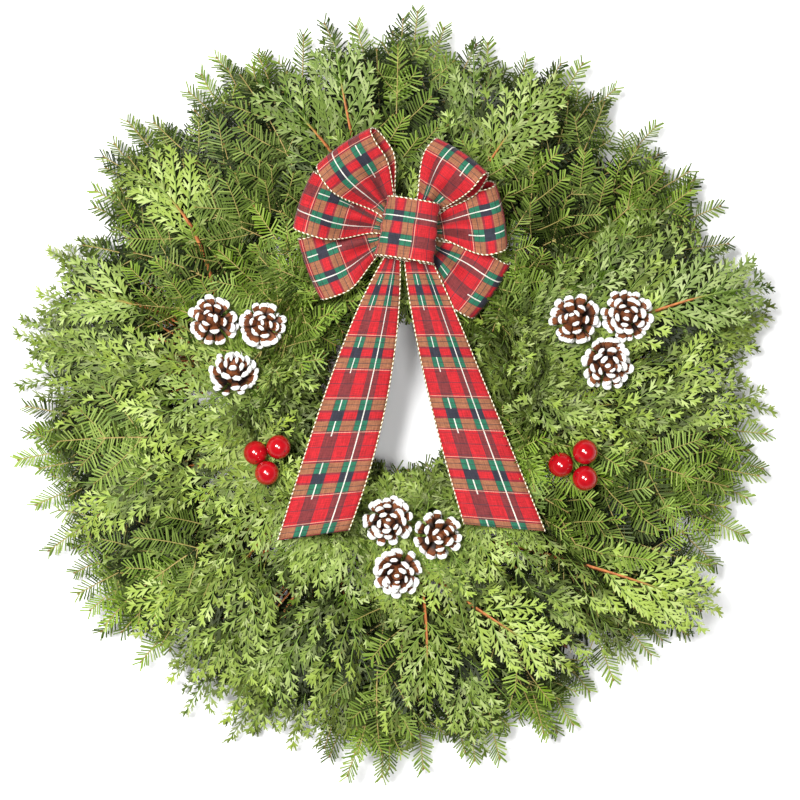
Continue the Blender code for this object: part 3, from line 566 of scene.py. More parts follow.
def set_vectors(data: bpy.types.Mesh, name: str, values: list) -> None:
    """Store one vector for each point of a mesh."""
    layer = data.attributes.new(name, "FLOAT_VECTOR", "POINT")
    layer.data.foreach_set("vector", np.array([tuple(v) for v in values], np.float32).ravel())


def run_nodes(source: Piece, tree: Tree, values: dict, name: str) -> Piece:
    """Run a geometry node tree on an object and keep the result as a plain mesh.

    Args:
        source: the object that feeds the tree; it is removed afterwards.
        tree: the geometry node tree.
        values: the tree's named inputs and what each is set to.
        name: name of the new piece.

    Returns:
        A new object with the resulting mesh and no modifier.
    """
    modifier = source.modifiers.new("Nodes", "NODES")
    modifier.node_group = tree
    sockets = {s.name: s.identifier for s in tree.interface.items_tree if s.in_out == "INPUT"}
    for key, value in values.items():
        modifier[sockets[key]] = value
    bpy.context.view_layer.update()
    graph = bpy.context.evaluated_depsgraph_get()
    data = bpy.data.meshes.new_from_object(source.evaluated_get(graph))
    data.name = name
    source.modifiers.clear()
    bpy.data.objects.remove(source, do_unlink=True)
    # What only the tree reads isn't kept on the finished mesh.
    for extra in ("side", "lean", "girth", "reach", "broad", "ahead", "above", "size"):
        if extra in data.attributes:
            data.attributes.remove(data.attributes[extra])
    return new_object(name, data)


def new_tree(name: str, inputs: dict[str, str], output: str) -> tuple[Tree, Add, Sockets]:
    """Start a geometry node tree.

    Args:
        name: the tree's name.
        inputs: names of its inputs, each with its kind of socket.
        output: name of its geometry output.

    Returns:
        The tree, what adds a node to it, and the sockets that give its inputs.
    """
    tree = bpy.data.node_groups.new(name, "GeometryNodeTree")
    for label, kind in inputs.items():
        tree.interface.new_socket(name=label, in_out="INPUT", socket_type=f"NodeSocket{kind}")
    tree.interface.new_socket(name=output, in_out="OUTPUT", socket_type="NodeSocketGeometry")
    add = partial(add_node, tree)
    return tree, add, add("NodeGroupInput", out=None)


def clothed(add: Add, geometry: Socket, finish: Socket) -> Socket:
    """Geometry as one real mesh in one material."""
    whole = add("GeometryNodeRealizeInstances", {"Geometry": geometry})
    return add("GeometryNodeSetMaterial", {"Geometry": whole, "Material": finish})


def turned_faces(first: int, count: int, rings: int, low: int, high: int) -> list[tuple]:
    """Faces of a closed turned body.

    Args:
        first: number of the first point of the lowest ring.
        count: points in each ring.
        rings: number of rings.
        low: number of the point at the lower pole.
        high: number of the point at the upper pole.

    Returns:
        Point numbers of each face, wound outward.
    """
    faces = []
    top = first + (rings - 1) * count
    for k in range(count):
        m = (k + 1) % count
        faces += [(low, first + m, first + k), (high, top + k, top + m)]
        for under in range(first, top, count):
            above = under + count
            faces.append((under + k, under + m, above + m, above + k))
    return faces


def band_piece(
    name: str, grid: Grid, thickness: float, repeat: float, start: float, finish: Material, cyclic: bool
) -> Piece:
    """Make a thin closed ribbon from its middle surface, with a weave UV map.

    Args:
        name: the piece's name.
        grid: rows along the ribbon, each of points across it.
        thickness: thickness of the ribbon.
        repeat: length of one repeat of the pattern.
        start: where in the pattern the first row lies.
        finish: the ribbon's material.
        cyclic: whether the last row joins the first.

    Returns:
        The ribbon's object.
    """
    rows, columns = len(grid), len(grid[0])
    place = np.array([[tuple(p) for p in row] for row in grid])
    if cyclic:
        along = np.roll(place, -1, 0) - np.roll(place, 1, 0)
    else:
        along = np.concatenate([place[1:], place[-1:]]) - np.concatenate([place[:1], place[:-1]])
    aside = np.concatenate([place[:, 1:], place[:, -1:]], 1)
    aside = aside - np.concatenate([place[:, :1], place[:, :-1]], 1)
    normal = np.cross(along, aside)
    normal /= np.maximum(np.linalg.norm(normal, axis=2, keepdims=True), 1e-12)
    points = np.concatenate([place + normal * thickness / 2, place - normal * thickness / 2])
    middle = place[:, columns // 2]
    lengths = np.concatenate([[0.0], np.cumsum(np.linalg.norm(np.diff(middle, axis=0), axis=1))])
    closing = float(np.linalg.norm(middle[0] - middle[-1]))
    shift = rows * columns
    faces, spots = [], []

    def add(corners: list[tuple[int, int, int]]) -> None:
        """Add one face and its place on the weave.

        Args:
            corners: row, column and side of each corner.
        """
        faces.append([side * shift + (i % rows) * columns + j for i, j, side in corners])
        for i, j, _ in corners:
            run = lengths[i] if i < rows else lengths[-1] + closing
            spots.append((j / (columns - 1), start + run / repeat))

    for i in range(rows if cyclic else rows - 1):
        for j in range(columns - 1):
            add([(i, j, 0), (i + 1, j, 0), (i + 1, j + 1, 0), (i, j + 1, 0)])
            add([(i, j + 1, 1), (i + 1, j + 1, 1), (i + 1, j, 1), (i, j, 1)])
        add([(i, 0, 0), (i, 0, 1), (i + 1, 0, 1), (i + 1, 0, 0)])
        j = columns - 1
        add([(i, j, 0), (i + 1, j, 0), (i + 1, j, 1), (i, j, 1)])
    if not cyclic:
        i = rows - 1
        for j in range(columns - 1):
            add([(0, j, 0), (0, j + 1, 0), (0, j + 1, 1), (0, j, 1)])
            add([(i, j, 0), (i, j, 1), (i, j + 1, 1), (i, j + 1, 0)])
    piece = mesh_piece(name, points.reshape(-1, 3).tolist(), faces, finish, True)
    layer = piece.data.uv_layers.new(name="weave")
    layer.data.foreach_set("uv", np.array(spots, np.float32).ravel())
    return piece


# Bow


@dataclass(frozen=True)
class CordTree:
    """Geometry nodes that twist an edge cord along the lines of a mesh."""

    name: str = "twisted_edge"
    sides: int = 6
    flatness: float = 0.72

    def build(self) -> Tree:
        """Make the tree, with inputs for the cord's radius, twist and pitch of points."""
        inputs = {
            "Lines": "Geometry", "Cord Radius": "Float", "Twist Length": "Float", "Step": "Float",
            "Finish": "Material",
        }
        tree, add, given = new_tree(self.name, inputs, "Cord")
        lines = add("GeometryNodeMeshToCurve", {"Mesh": given["Lines"]})
        fine = add("GeometryNodeResampleCurve", {"Curve": lines, "Length": given["Step"]}, mode="LENGTH")
        run = add("GeometryNodeSplineParameter", out="Length")
        tilt = add(TIMES, add("ShaderNodeMath DIVIDE", run, given["Twist Length"]), 2 * math.pi)
        twisted = add("GeometryNodeSetCurveTilt", {"Curve": fine, "Tilt": tilt})
        values = {"Resolution": self.sides, "Radius": 1.0}
        circle = add("GeometryNodeCurvePrimitiveCircle", values)
        height = add("ShaderNodeSeparateXYZ", {0: add("GeometryNodeInputPosition")}, out="Y")
        marked = add(
            "GeometryNodeStoreNamedAttribute",
            {"Geometry": circle, "Name": "strand", "Value": add(LINE, height, 0.5, 0.5)},
            domain="POINT",
        )
        values = {"Geometry": marked, "Scale": (1.0, self.flatness, 1.0)}
        flat = add("GeometryNodeTransform", values)
        values = {"Curve": twisted, "Profile Curve": flat, "Scale": given["Cord Radius"], "Fill Caps": True}
        cord = add("GeometryNodeCurveToMesh", values)
        add("NodeGroupOutput", {"Cord": clothed(add, cord, given["Finish"])}, out=None)
        return tree


@dataclass(frozen=True)
class RibbonLoop:
    """One loop of the bow, on the same middle surface as its solid.

    Direction and roll are in degrees; start is where in the pattern the loop begins.
    """

    node: str
    direction: float
    length: float
    root_height: float
    fold_height: float
    roll: float
    shear: float
    puff: float
    start: float
    pleats: float = 2.5


@dataclass
class Bow:
    """Six loops, a centre loop and two tails of wired plaid ribbon."""

    ribbon_width: float = 0.064
    thickness: float = 0.0005
    centre: tuple[float, float] = (0.0105, 0.160)
    loop_root: float = 0.0105
    root_half_width: float = 0.0085
    side_shift: float = 0.0013
    half_height: float = 0.0130
    root_gap: float = 0.0011
    knot_centre: tuple[float, float] = (0.0137, 0.1605)
    knot_lean: float = -9.0
    knot_length: float = 0.058
    knot_width: float = 0.052
    knot_depth: float = 0.029
    knot_bottom: float = 0.1113
    tail_heights: tuple[float, float, float] = (0.1107, 0.0985, 0.1015)
    loop_steps: int = 30
    loop_columns: int = 25
    cord_radius: float = 0.00095
    repeat: float = 0.064
    loops: tuple[RibbonLoop, ...] = (
        RibbonLoop("bow_loop_lower_left", 201.0, 0.100, 0.1015, 0.0965, 6.0, -0.003, 0.9, 0.30),
        RibbonLoop("bow_loop_lower_right", -34.0, 0.102, 0.1015, 0.0945, -3.0, 0.005, 0.80, 0.60),
        RibbonLoop("bow_loop_middle_left", 162.0, 0.104, 0.1050, 0.1110, 20.0, -0.003, 0.9, 0.10),
        RibbonLoop("bow_loop_middle_right", 10.0, 0.094, 0.1050, 0.1110, -8.0, 0.006, 0.9, 0.45),
        RibbonLoop("bow_loop_upper_left", 125.0, 0.101, 0.1085, 0.1250, 8.0, -0.006, 1.0, 0.20),
        RibbonLoop("bow_loop_upper_right", 53.0, 0.091, 0.1085, 0.1250, -20.0, -0.003, 1.0, 0.75),
    )
    tail_edges: dict[str, tuple] = field(
        default_factory=lambda: {
            "bow_tail_left": (
                ((-0.0055, 0.143), (-0.049, 0.075), (-0.083, -0.040), (-0.1153, -0.143)),
                ((0.0046, 0.143), (0.0085, 0.070), (-0.008, -0.040), (-0.0453, -0.1332)),
            ),
            "bow_tail_right": (
                ((0.0086, 0.143), (0.0125, 0.080), (0.038, -0.030), (0.0681, -0.1273)),
                ((0.031, 0.143), (0.062, 0.080), (0.105, -0.030), (0.148, -0.1342)),
            ),
        }
    )

    loop_starts: tuple[float, float] = (0.020, 0.026)
    bulge: float = 0.0025
    gather: float = 0.0015
    crease: float = 0.0072
    wave: float = 0.0010
    knot_steps: int = 56
    knot_columns: int = 21
    knot_start: float = 0.55
    tail_steps: int = 72
    tail_columns: int = 15
    tail_start: float = 0.62
    tail_arch: float = 0.004
    tail_fold: float = 0.0032
    twist_length: float = 0.0046
    cord_step: float = 0.0015

    def loop_grid(self, loop: RibbonLoop) -> Grid:
        """Middle surface of a loop: out along the back, round the fold, home along the front.

        Args:
            loop: the loop's own sizes.

        Returns:
            Rows along the ribbon, gathered in pleats at both ends.
        """
        ahead = polar(1.0, loop.direction)
        aside = Vector((-ahead.y, ahead.x, 0))
        high = self.half_height * loop.puff
        spread_from, open_from = self.loop_starts
        grid = []
        steps = self.loop_steps
        for i in range(2 * steps + 1):
            share = 1 - abs(i - steps) / steps
            front = (i > steps) - (i < steps)
            out = mix(self.loop_root, loop.length, share**0.85)
            opened = smoothstep((out - open_from) / (0.60 * loop.length))
            lift = front * mix(self.root_gap, high, opened) * math.sqrt(max(1 - share**8, 0.0))
            half = mix(self.root_half_width, self.ribbon_width / 2, smoothstep((out - spread_from) / 0.055))
            tilt = math.radians(loop.roll) * smoothstep((out - spread_from) / (0.50 * loop.length))
            wide = aside * math.cos(tilt) + Vector((0, 0, math.sin(tilt)))
            above = ahead.cross(wide)
            above = above if above.z > 0 else -above
            climb = smoothstep((out - open_from) / (loop.length - 0.030))
            middle = Vector((*self.centre, mix(loop.root_height, loop.fold_height, climb)))
            middle += ahead * out + Vector((math.copysign(self.side_shift, ahead.x), 0, lift))
            middle -= aside * loop.shear * lift / high
            gather = self.gather * smoothstep((0.055 - out) / 0.04)
            crease = smoothstep((0.088 - out) / 0.05) * smoothstep((out - 0.022) / 0.02)
            crease *= self.crease * (front > 0)
            row = []
            for j in range(self.loop_columns):
                across = 2 * j / (self.loop_columns - 1) - 1
                bulge = self.bulge * (1 - across * across) * share * (1 if front >= 0 else -1)
                pleat = gather * math.cos(math.pi * loop.pleats * across + loop.direction)
                dent = crease * (1 - across**2) ** 0.7
                dent *= math.cos(math.pi * 1.7 * across + 0.7 * loop.direction)
                wave = self.wave * math.sin(out * 95 + 3 * across + loop.direction)
                wave *= abs(across) ** 2 * share
                spot = middle + wide * half * across + Vector((0, 0, bulge)) + ahead * bulge
                row.append(spot + above * (pleat + wave + dent))
            grid.append(row)
        return grid

    def knot_grid(self) -> Grid:
        """Middle surface of the centre loop, a rounded oblong tube whose axis runs up the wreath."""
        axis = polar(1.0, 90 + self.knot_lean)
        aside = Vector((axis.y, -axis.x, 0))
        middle = self.knot_bottom + self.knot_depth / 2 + self.thickness / 2
        centre = Vector((*self.knot_centre, middle))
        grid = []
        for i in range(self.knot_steps):
            angle = 2 * math.pi * (i + 0.5) / self.knot_steps
            cosine, sine = math.cos(angle), math.sin(angle)
            x = math.copysign(abs(cosine) ** 0.62, cosine) * self.knot_width / 2
            z = math.copysign(abs(sine) ** 0.75, sine) * self.knot_depth / 2
            row = []
            for j in range(self.knot_columns):
                across = 2 * j / (self.knot_columns - 1) - 1
                flare = 1 - 0.06 * across if z > -self.knot_depth * 0.4 else 0.9
                crease = -0.0013 * abs(cosine) ** 1.5 * math.cos(across * 7.0 + angle)
                crease -= 0.0006 * math.sin(4 * angle + across * 3)
                spot = centre + axis * across * self.knot_length / 2
                spot += aside * (x * flare + math.copysign(crease, x))
                row.append(spot + Vector((0, 0, z + 0.0006 * math.cos(5 * across) * (sine > 0))))
            grid.append(row)
        return grid

    def tail_grid(self, node: str) -> Grid:
        """Middle surface of one tail between its two edge curves.

        Args:
            node: name of the tail's solid.

        Returns:
            Rows down the tail, with a soft fold at the top and slow waves along it.
        """
        left, right = self.tail_edges[node]
        root, sag, end = self.tail_heights
        side = -1 if node.endswith("left") else 1
        grid = []
        for i in range(self.tail_steps + 1):
            share = i / self.tail_steps
            a, b = bezier(left, share), bezier(right, share)
            height = mix(root, sag, smoothstep((share - 0.16) / 0.42))
            height = mix(height, end, smoothstep((share - 0.6) / 0.4))
            fold = self.tail_fold * smoothstep((0.42 - share) / 0.36) * smoothstep(share / 0.08)
            arched = self.tail_arch * smoothstep((share - 0.08) / 0.2)
            waved = self.wave * smoothstep((share - 0.2) / 0.2)
            row = []
            for j in range(self.tail_columns):
                across = j / (self.tail_columns - 1)
                arch = arched * (1 - (2 * across - 1) ** 2)
                ridge = fold * math.cos(2 * math.pi * (across - (0.62 if side < 0 else 0.36)))
                wave = waved * math.sin(share * 15 + side + across * 2.4)
                flat = mix(a, b, across)
                row.append(Vector((flat.x, flat.y, height + arch + wave + ridge)))
            grid.append(row)
        return grid

    def edge_cord(self, name: str, grid: Grid, cyclic: bool, tree: Tree, finish: Material) -> Piece:
        """Twist a cord along both long edges of a ribbon.

        Args:
            name: the cord piece's name.
            grid: the ribbon's middle surface.
            cyclic: whether the ribbon is a closed band.
            tree: the cord's geometry nodes.
            finish: the cord's material.

        Returns:
            One object that holds both cords.
        """
        points, edges = [], []
        for column in (0, len(grid[0]) - 1):
            first = len(points)
            points += [row[column] for row in grid]
            edges += [(k, k + 1) for k in range(first, len(points) - 1)]
            if cyclic:
                edges.append((len(points) - 1, first))
        data = bpy.data.meshes.new("edge_lines")
        data.from_pydata([tuple(p) for p in points], edges, [])
        values = {
            "Cord Radius": self.cord_radius, "Twist Length": self.twist_length, "Step": self.cord_step,
            "Finish": finish,
        }
        made = run_nodes(new_object("edge_lines", data), tree, values, name)
        made.data.shade_smooth()
        return made

    def build(self, plaid: Material, cord: Material) -> None:
        """Args:
            plaid: the ribbon's material.
            cord: the edge cord's material.
        """
        tree = CordTree().build()
        plans = [(loop.node, self.loop_grid(loop), loop.start, False) for loop in self.loops]
        plans.append(("bow_knot", self.knot_grid(), self.knot_start, True))
        plans += [(node, self.tail_grid(node), self.tail_start, False) for node in self.tail_edges]
        rests = {
            "bow_knot": ["bow_loop_upper_left", "bow_loop_upper_right"],
            "bow_tail_left": ["bow_loop_lower_left"],
            "bow_tail_right": ["bow_loop_lower_right"],
        }
        for node, grid, start, cyclic in plans:
            ribbon = band_piece(
                node.replace("bow_", "ribbon_"), grid, self.thickness, self.repeat, start, plaid, cyclic
            )
            edging = self.edge_cord(node.replace("bow_", "edging_"), grid, cyclic, tree, cord)
            middle = [row[len(row) // 2] for row in grid]
            length = sum((b - a).length for a, b in zip(middle, middle[1:]))
            length += (middle[0] - middle[-1]).length if cyclic else 0.0
            for piece in (ribbon, edging):
                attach(piece, "root")
                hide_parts(node)
            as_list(rests.get(node, ["bow_tie_wire"]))
            LOG.info("%s: %.0f mm of ribbon", ribbon.name, length * 1000)


# Pine cones


@dataclass(frozen=True)
class StampTree:
    """Geometry nodes that set one shape on every point of a mesh by its own axes."""

    name: str = "set_scales"

    def build(self) -> Tree:
        """Make the tree, with inputs for the shape, its size, its seed and its finish."""
        inputs = {
            "Spots": "Geometry", "Shape": "Object", "Size": "Float", "Seed": "Int", "Finish": "Material",
        }
        tree, add, given = new_tree(self.name, inputs, "Scales")
        ahead, above = (
            add(STORED, {"Name": name}, data_type="FLOAT_VECTOR") for name in ("ahead", "above")
        )
        values = {
            "Points": given["Spots"],
            "Instance": add("GeometryNodeObjectInfo", {"Object": given["Shape"]}, out="Geometry"),
            "Rotation": add(
                "FunctionNodeAxesToRotation",
                {"Primary Axis": ahead, "Secondary Axis": above},
                primary_axis="X",
                secondary_axis="Z",
            ),
            "Scale": add(TIMES, add(STORED, {"Name": "size"}), given["Size"]),
        }
        copies = add("GeometryNodeInstanceOnPoints", values)
        marked = add(
            "GeometryNodeStoreNamedAttribute",
            {
                "Geometry": copies,
                "Name": "luck",
                "Value": add(CHANCE, {2: 0.0, 3: 1.0, "Seed": given["Seed"]}, out=1),
            },
            domain="INSTANCE",
        )
        add("NodeGroupOutput", {"Scales": clothed(add, marked, given["Finish"])}, out=None)
        return tree


@dataclass
class Cones:
    """Nine open cones in three clusters, their scales set in rings round a woody axis."""

    height: float = 0.039
    base_height: float = 0.068
    scale_length: float = 0.0172
    # stations along a scale: share of its length, half width, half thickness, rise, paint, where below 0 it
    # is painted shade towards the root
    stations: tuple = (
        (0.00, 0.12, 0.05, 0.00, -1.3),
        (0.40, 0.17, 0.06, -0.03, -0.75),
        (0.64, 0.24, 0.07, -0.03, -0.10),
        (0.80, 0.285, 0.12, 0.01, 0.36),
        (0.95, 0.25, 0.16, 0.06, 0.95),
        (1.05, 0.14, 0.11, 0.09, 1.0),
    )
    # rings of scales: count, reach, rise in degrees, level, size
    low_rings: tuple = ((11, 1.07, 0.0, 0.12, 0.96), (11, 1.14, 14.0, 0.34, 1.08))
    dipped_rings: tuple = (
        (9, 0.82, 34.0, 0.56, 1.06), (5, 0.50, 54.0, 0.75, 0.90), (2, 0.20, 74.0, 0.86, 0.66),
    )
    woody_rings: tuple = (
        (6, 0.72, 34.0, 0.56, 1.06), (3, 0.38, 54.0, 0.75, 0.90), (1, 0.20, 74.0, 0.86, 0.66),
    )
    # the axis: level and radius of each ring, in shares of the cone's, and the level of both ends
    axis_rings: tuple = ((0.06, 0.30), (0.25, 0.38), (0.5, 0.28), (0.72, 0.14))
    axis_ends: tuple = (0.04, 0.84)
    axis_sides: int = 12
    snowy: tuple[str, ...] = ("left_3", "right_2", "right_3", "bottom_1", "bottom_3")
    # cones that lie on their sides: by how many degrees and towards which angle
    rocked: dict[str, tuple[float, float]] = field(
        default_factory=lambda: {
            "left_3": (66.0, 82.0), "right_2": (16.0, 200.0), "bottom_1": (14.0, 300.0)
        }
    )
    # place, lift, radius, lean in degrees and the angle that it leans towards
    clusters: dict[str, tuple] = field(
        default_factory=lambda: {
            "left": (
                (-0.1788, 0.0731, 0.000, 0.0222, 10, 150),
                (-0.1345, 0.0685, -0.003, 0.0205, 12, 20),
                (-0.1590, 0.0345, 0.006, 0.0222, 24, 265),
            ),
            "right": (
                (0.1815, 0.0750, -0.002, 0.0225, 12, 170),
                (0.2270, 0.0770, 0.003, 0.0232, 10, 30),
                (0.2095, 0.0335, 0.004, 0.0232, 14, 290),
            ),
            "bottom": (
                (-0.0045, -0.1290, 0.001, 0.0222, 12, 130),
                (0.0395, -0.1405, -0.002, 0.0222, 12, 10),
                (0.0030, -0.1735, 0.004, 0.0222, 14, 260),
            ),
        }
    )

    def scale_shape(self) -> Piece:
        """One woody scale along +X: a thin claw that widens to a thick rounded, dipped lip."""
        points, dipped, faces = [], [], []
        ring = ((1.0, 0.0), (0.62, 0.85), (-0.62, 0.85), (-1.0, 0.0), (-0.55, -0.8), (0.55, -0.8))
        for out, wide, thick, rise, paint in self.stations:
            for side, level in ring:
                points.append((out, side * wide, rise + level * thick + 0.05 * abs(side) * out))
                dipped.append(paint + 0.36 * abs(side) * (out > 0.5) - 0.24 * (level > 0))
        count = len(ring)
        last = len(points) - count
        for low in range(0, last, count):
            for k in range(count):
                m = (k + 1) % count
                faces.append((low + count + m, low + count + k, low + k, low + m))
        faces.append(tuple(reversed(range(count))))
        faces.append(tuple(range(last, len(points))))
        piece = mesh_piece("scale_shape", points, faces, None, True)
        set_floats(piece.data, "dipped", dipped)
        return piece

    def spots(self, radius: float, luck: random.Random, full: bool) -> dict[str, list]:
        """Places, axes and sizes of a cone's scales.

        Args:
            radius: reach of the lowest scales from the cone's axis.
            luck: source of chance.
            full: whether the top is dipped too, instead of showing its wood.

        Returns:
            One list each under points, ahead, above, size and snow, the share of paint.
        """
        rows = {"points": [], "ahead": [], "above": [], "size": [], "snow": []}
        start = luck.uniform(0, 6.28)
        rings = self.low_rings + (self.dipped_rings if full else self.woody_rings)
        for number, (count, share, slope, height, part) in enumerate(rings):
            for k in range(count):
                angle = start + 2 * math.pi * (k + 0.5 * (number % 2)) / count + luck.uniform(-0.20, 0.20)
                rise = math.radians(slope + luck.uniform(-12, 12))
                reach = radius * share * luck.uniform(0.91, 1.04)
                level = self.height * (height + luck.uniform(-0.03, 0.03))
                size = part * luck.uniform(0.84, 1.12)
                out = Vector((math.cos(angle), math.sin(angle), 0))
                axis = out * math.cos(rise) + Vector((0, 0, math.sin(rise)))
                tip = out * reach + Vector((0, 0, level))
                upright = Vector((0, 0, math.cos(rise))) - out * math.sin(rise)
                turned = Matrix.Rotation(luck.uniform(-0.34, 0.34), 3, axis) @ upright
                snow = (0.60, 1.1) if full or number < len(self.low_rings) else (0.0, 0.65)
                spot = (tip - axis * self.scale_length * size, axis, turned, size, luck.uniform(*snow))
                for values, value in zip(rows.values(), spot):
                    values.append(value)
        return rows

    def core(self, radius: float, place: Matrix) -> tuple[list, list]:
        """Points and faces of the cone's woody axis, a closed spindle.

        Args:
            radius: radius of the axis in metres.
            place: where the cone lies.

        Returns:
            The points and the faces.
        """
        count = self.axis_sides
        points = [
            place @ polar(radius * share, 360 * k / count, level * self.height)
            for level, share in self.axis_rings
            for k in range(count)
        ]
        points += [place @ Vector((0, 0, level * self.height)) for level in self.axis_ends]
        return points, turned_faces(0, count, len(self.axis_rings), len(points) - 2, len(points) - 1)

    def build(self, finish: Material) -> None:
        """Args:
            finish: the material of the scales.
        """
        tree, shape = StampTree().build(), self.scale_shape()
        luck = random.Random(SEED + 7)
        middle = Matrix.Translation((0, 0, self.height / 2))
        for side, cones in self.clusters.items():
            for number, (x, y, lift, radius, lean, lean_to) in enumerate(cones, 1):
                which = f"{side}_{number}"
                rock, rock_to = self.rocked.get(which, (0.0, 0.0))
                spin = Matrix.Rotation(luck.uniform(0, 2 * math.pi), 4, "Z")
                stand = Matrix.Translation((x, y, self.base_height + lift))
                tilt = Matrix.Rotation(math.radians(lean), 4, polar(1, lean_to + 90))
                rocked = Matrix.Rotation(math.radians(rock), 4, polar(1, rock_to + 90))
                place = stand @ tilt @ middle @ rocked @ middle.inverted() @ spin
                rows = self.spots(radius, luck, which in self.snowy)
                source = mesh_piece("cone_spots", [place @ p for p in rows["points"]], [])
                for name in ("ahead", "above"):
                    set_vectors(source.data, name, [place.to_3x3() @ v for v in rows[name]])
                for name in ("size", "snow"):
                    set_floats(source.data, name, rows[name])
                values = {
                    "Shape": shape, "Size": self.scale_length, "Seed": SEED + number, "Finish": finish
                }
                made = run_nodes(source, tree, values, f"open_cone_{which}")
                join_into(made, mesh_piece("core", *self.core(radius, place), finish, True))
                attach(made, "root")
                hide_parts(f"cone_{side}_{number}")
                LOG.info("%s: %d faces", made.name, len(made.data.polygons))
        bpy.data.objects.remove(shape, do_unlink=True)


def join_into(target: Piece, extra: Piece) -> None:
    """Join one mesh object into another.

    Args:
        target: the object that stays.
        extra: the object that goes into it.
    """
    both = [target, extra]
    with bpy.context.temp_override(
        active_object=target, object=target, selected_objects=both, selected_editable_objects=both
    ):
        bpy.ops.object.join()


# Berries


@dataclass
class Berries:
    """Two picks of three glossy berries."""

    segments: int = 40
    rings: int = 24
    dimple: float = 0.05
    # radius of the berries, and their centres
    picks: dict[str, tuple] = field(
        default_factory=lambda: {
            "left": (
                0.0121,
                ((-0.1383, -0.0574, 0.086), (-0.1150, -0.0514, 0.096), (-0.1264, -0.0771, 0.096)),
            ),
            "right": (
                0.0125,
                ((0.1643, -0.0692, 0.091), (0.1878, -0.0562, 0.096), (0.1878, -0.0823, 0.096)),
            ),
        }
    )

    def berry(
        self, name: str, radius: float, spot: tuple, tilt: Vector, finish: Material
    ) -> Piece:
        """Turn one berry, its dimple facing along tilt.

        Args:
            name: the piece's name.
            radius: the berry's radius.
            spot: place of its centre.
            tilt: direction of its dimple.
            finish: its material.

        Returns:
            The berry's object.
        """
        turn = tilt.to_track_quat("Z", "Y").to_matrix()
        points, marks = [], []
        for ring in range(self.rings + 1):
            climb = math.pi * ring / self.rings - math.pi / 2
            level, flat = math.sin(climb), math.cos(climb)
            sink = self.dimple * math.exp(-(((1 - level) / 0.05) ** 2) / 2) if level > 0 else 0.0
            for k in range(self.segments if 0 < ring < self.rings else 1):
                local = polar(flat, 360 * k / self.segments, level) * (1 - sink) * radius
                points.append(Vector(spot) + turn @ local)
                marks.append(level)
        faces = turned_faces(1, self.segments, self.rings - 1, 0, len(points) - 1)
        piece = mesh_piece(name, points, faces, finish, True)
        set_floats(piece.data, "pole", marks)
        return piece

    def build(self, finish: Material) -> None:
        """Args:
            finish: the material of the berries.
        """
        luck = random.Random(SEED + 9)
        for side, (radius, spots) in self.picks.items():
            for number, spot in enumerate(spots, 1):
                tilt = polar(1.0, luck.uniform(150, 330), luck.uniform(0.5, 1.1)).normalized()
                made = self.berry(f"round_berry_{side}_{number}", radius, spot, tilt, finish)
                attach(made, "root")
                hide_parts(f"berry_{side}_{number}")
                LOG.info("%s: %.1f mm across", made.name, radius * 2000)


# Greens


class Habit(Enum):
    """How a conifer carries its leaves."""

    FIR = "fir"
    CEDAR = "cedar"


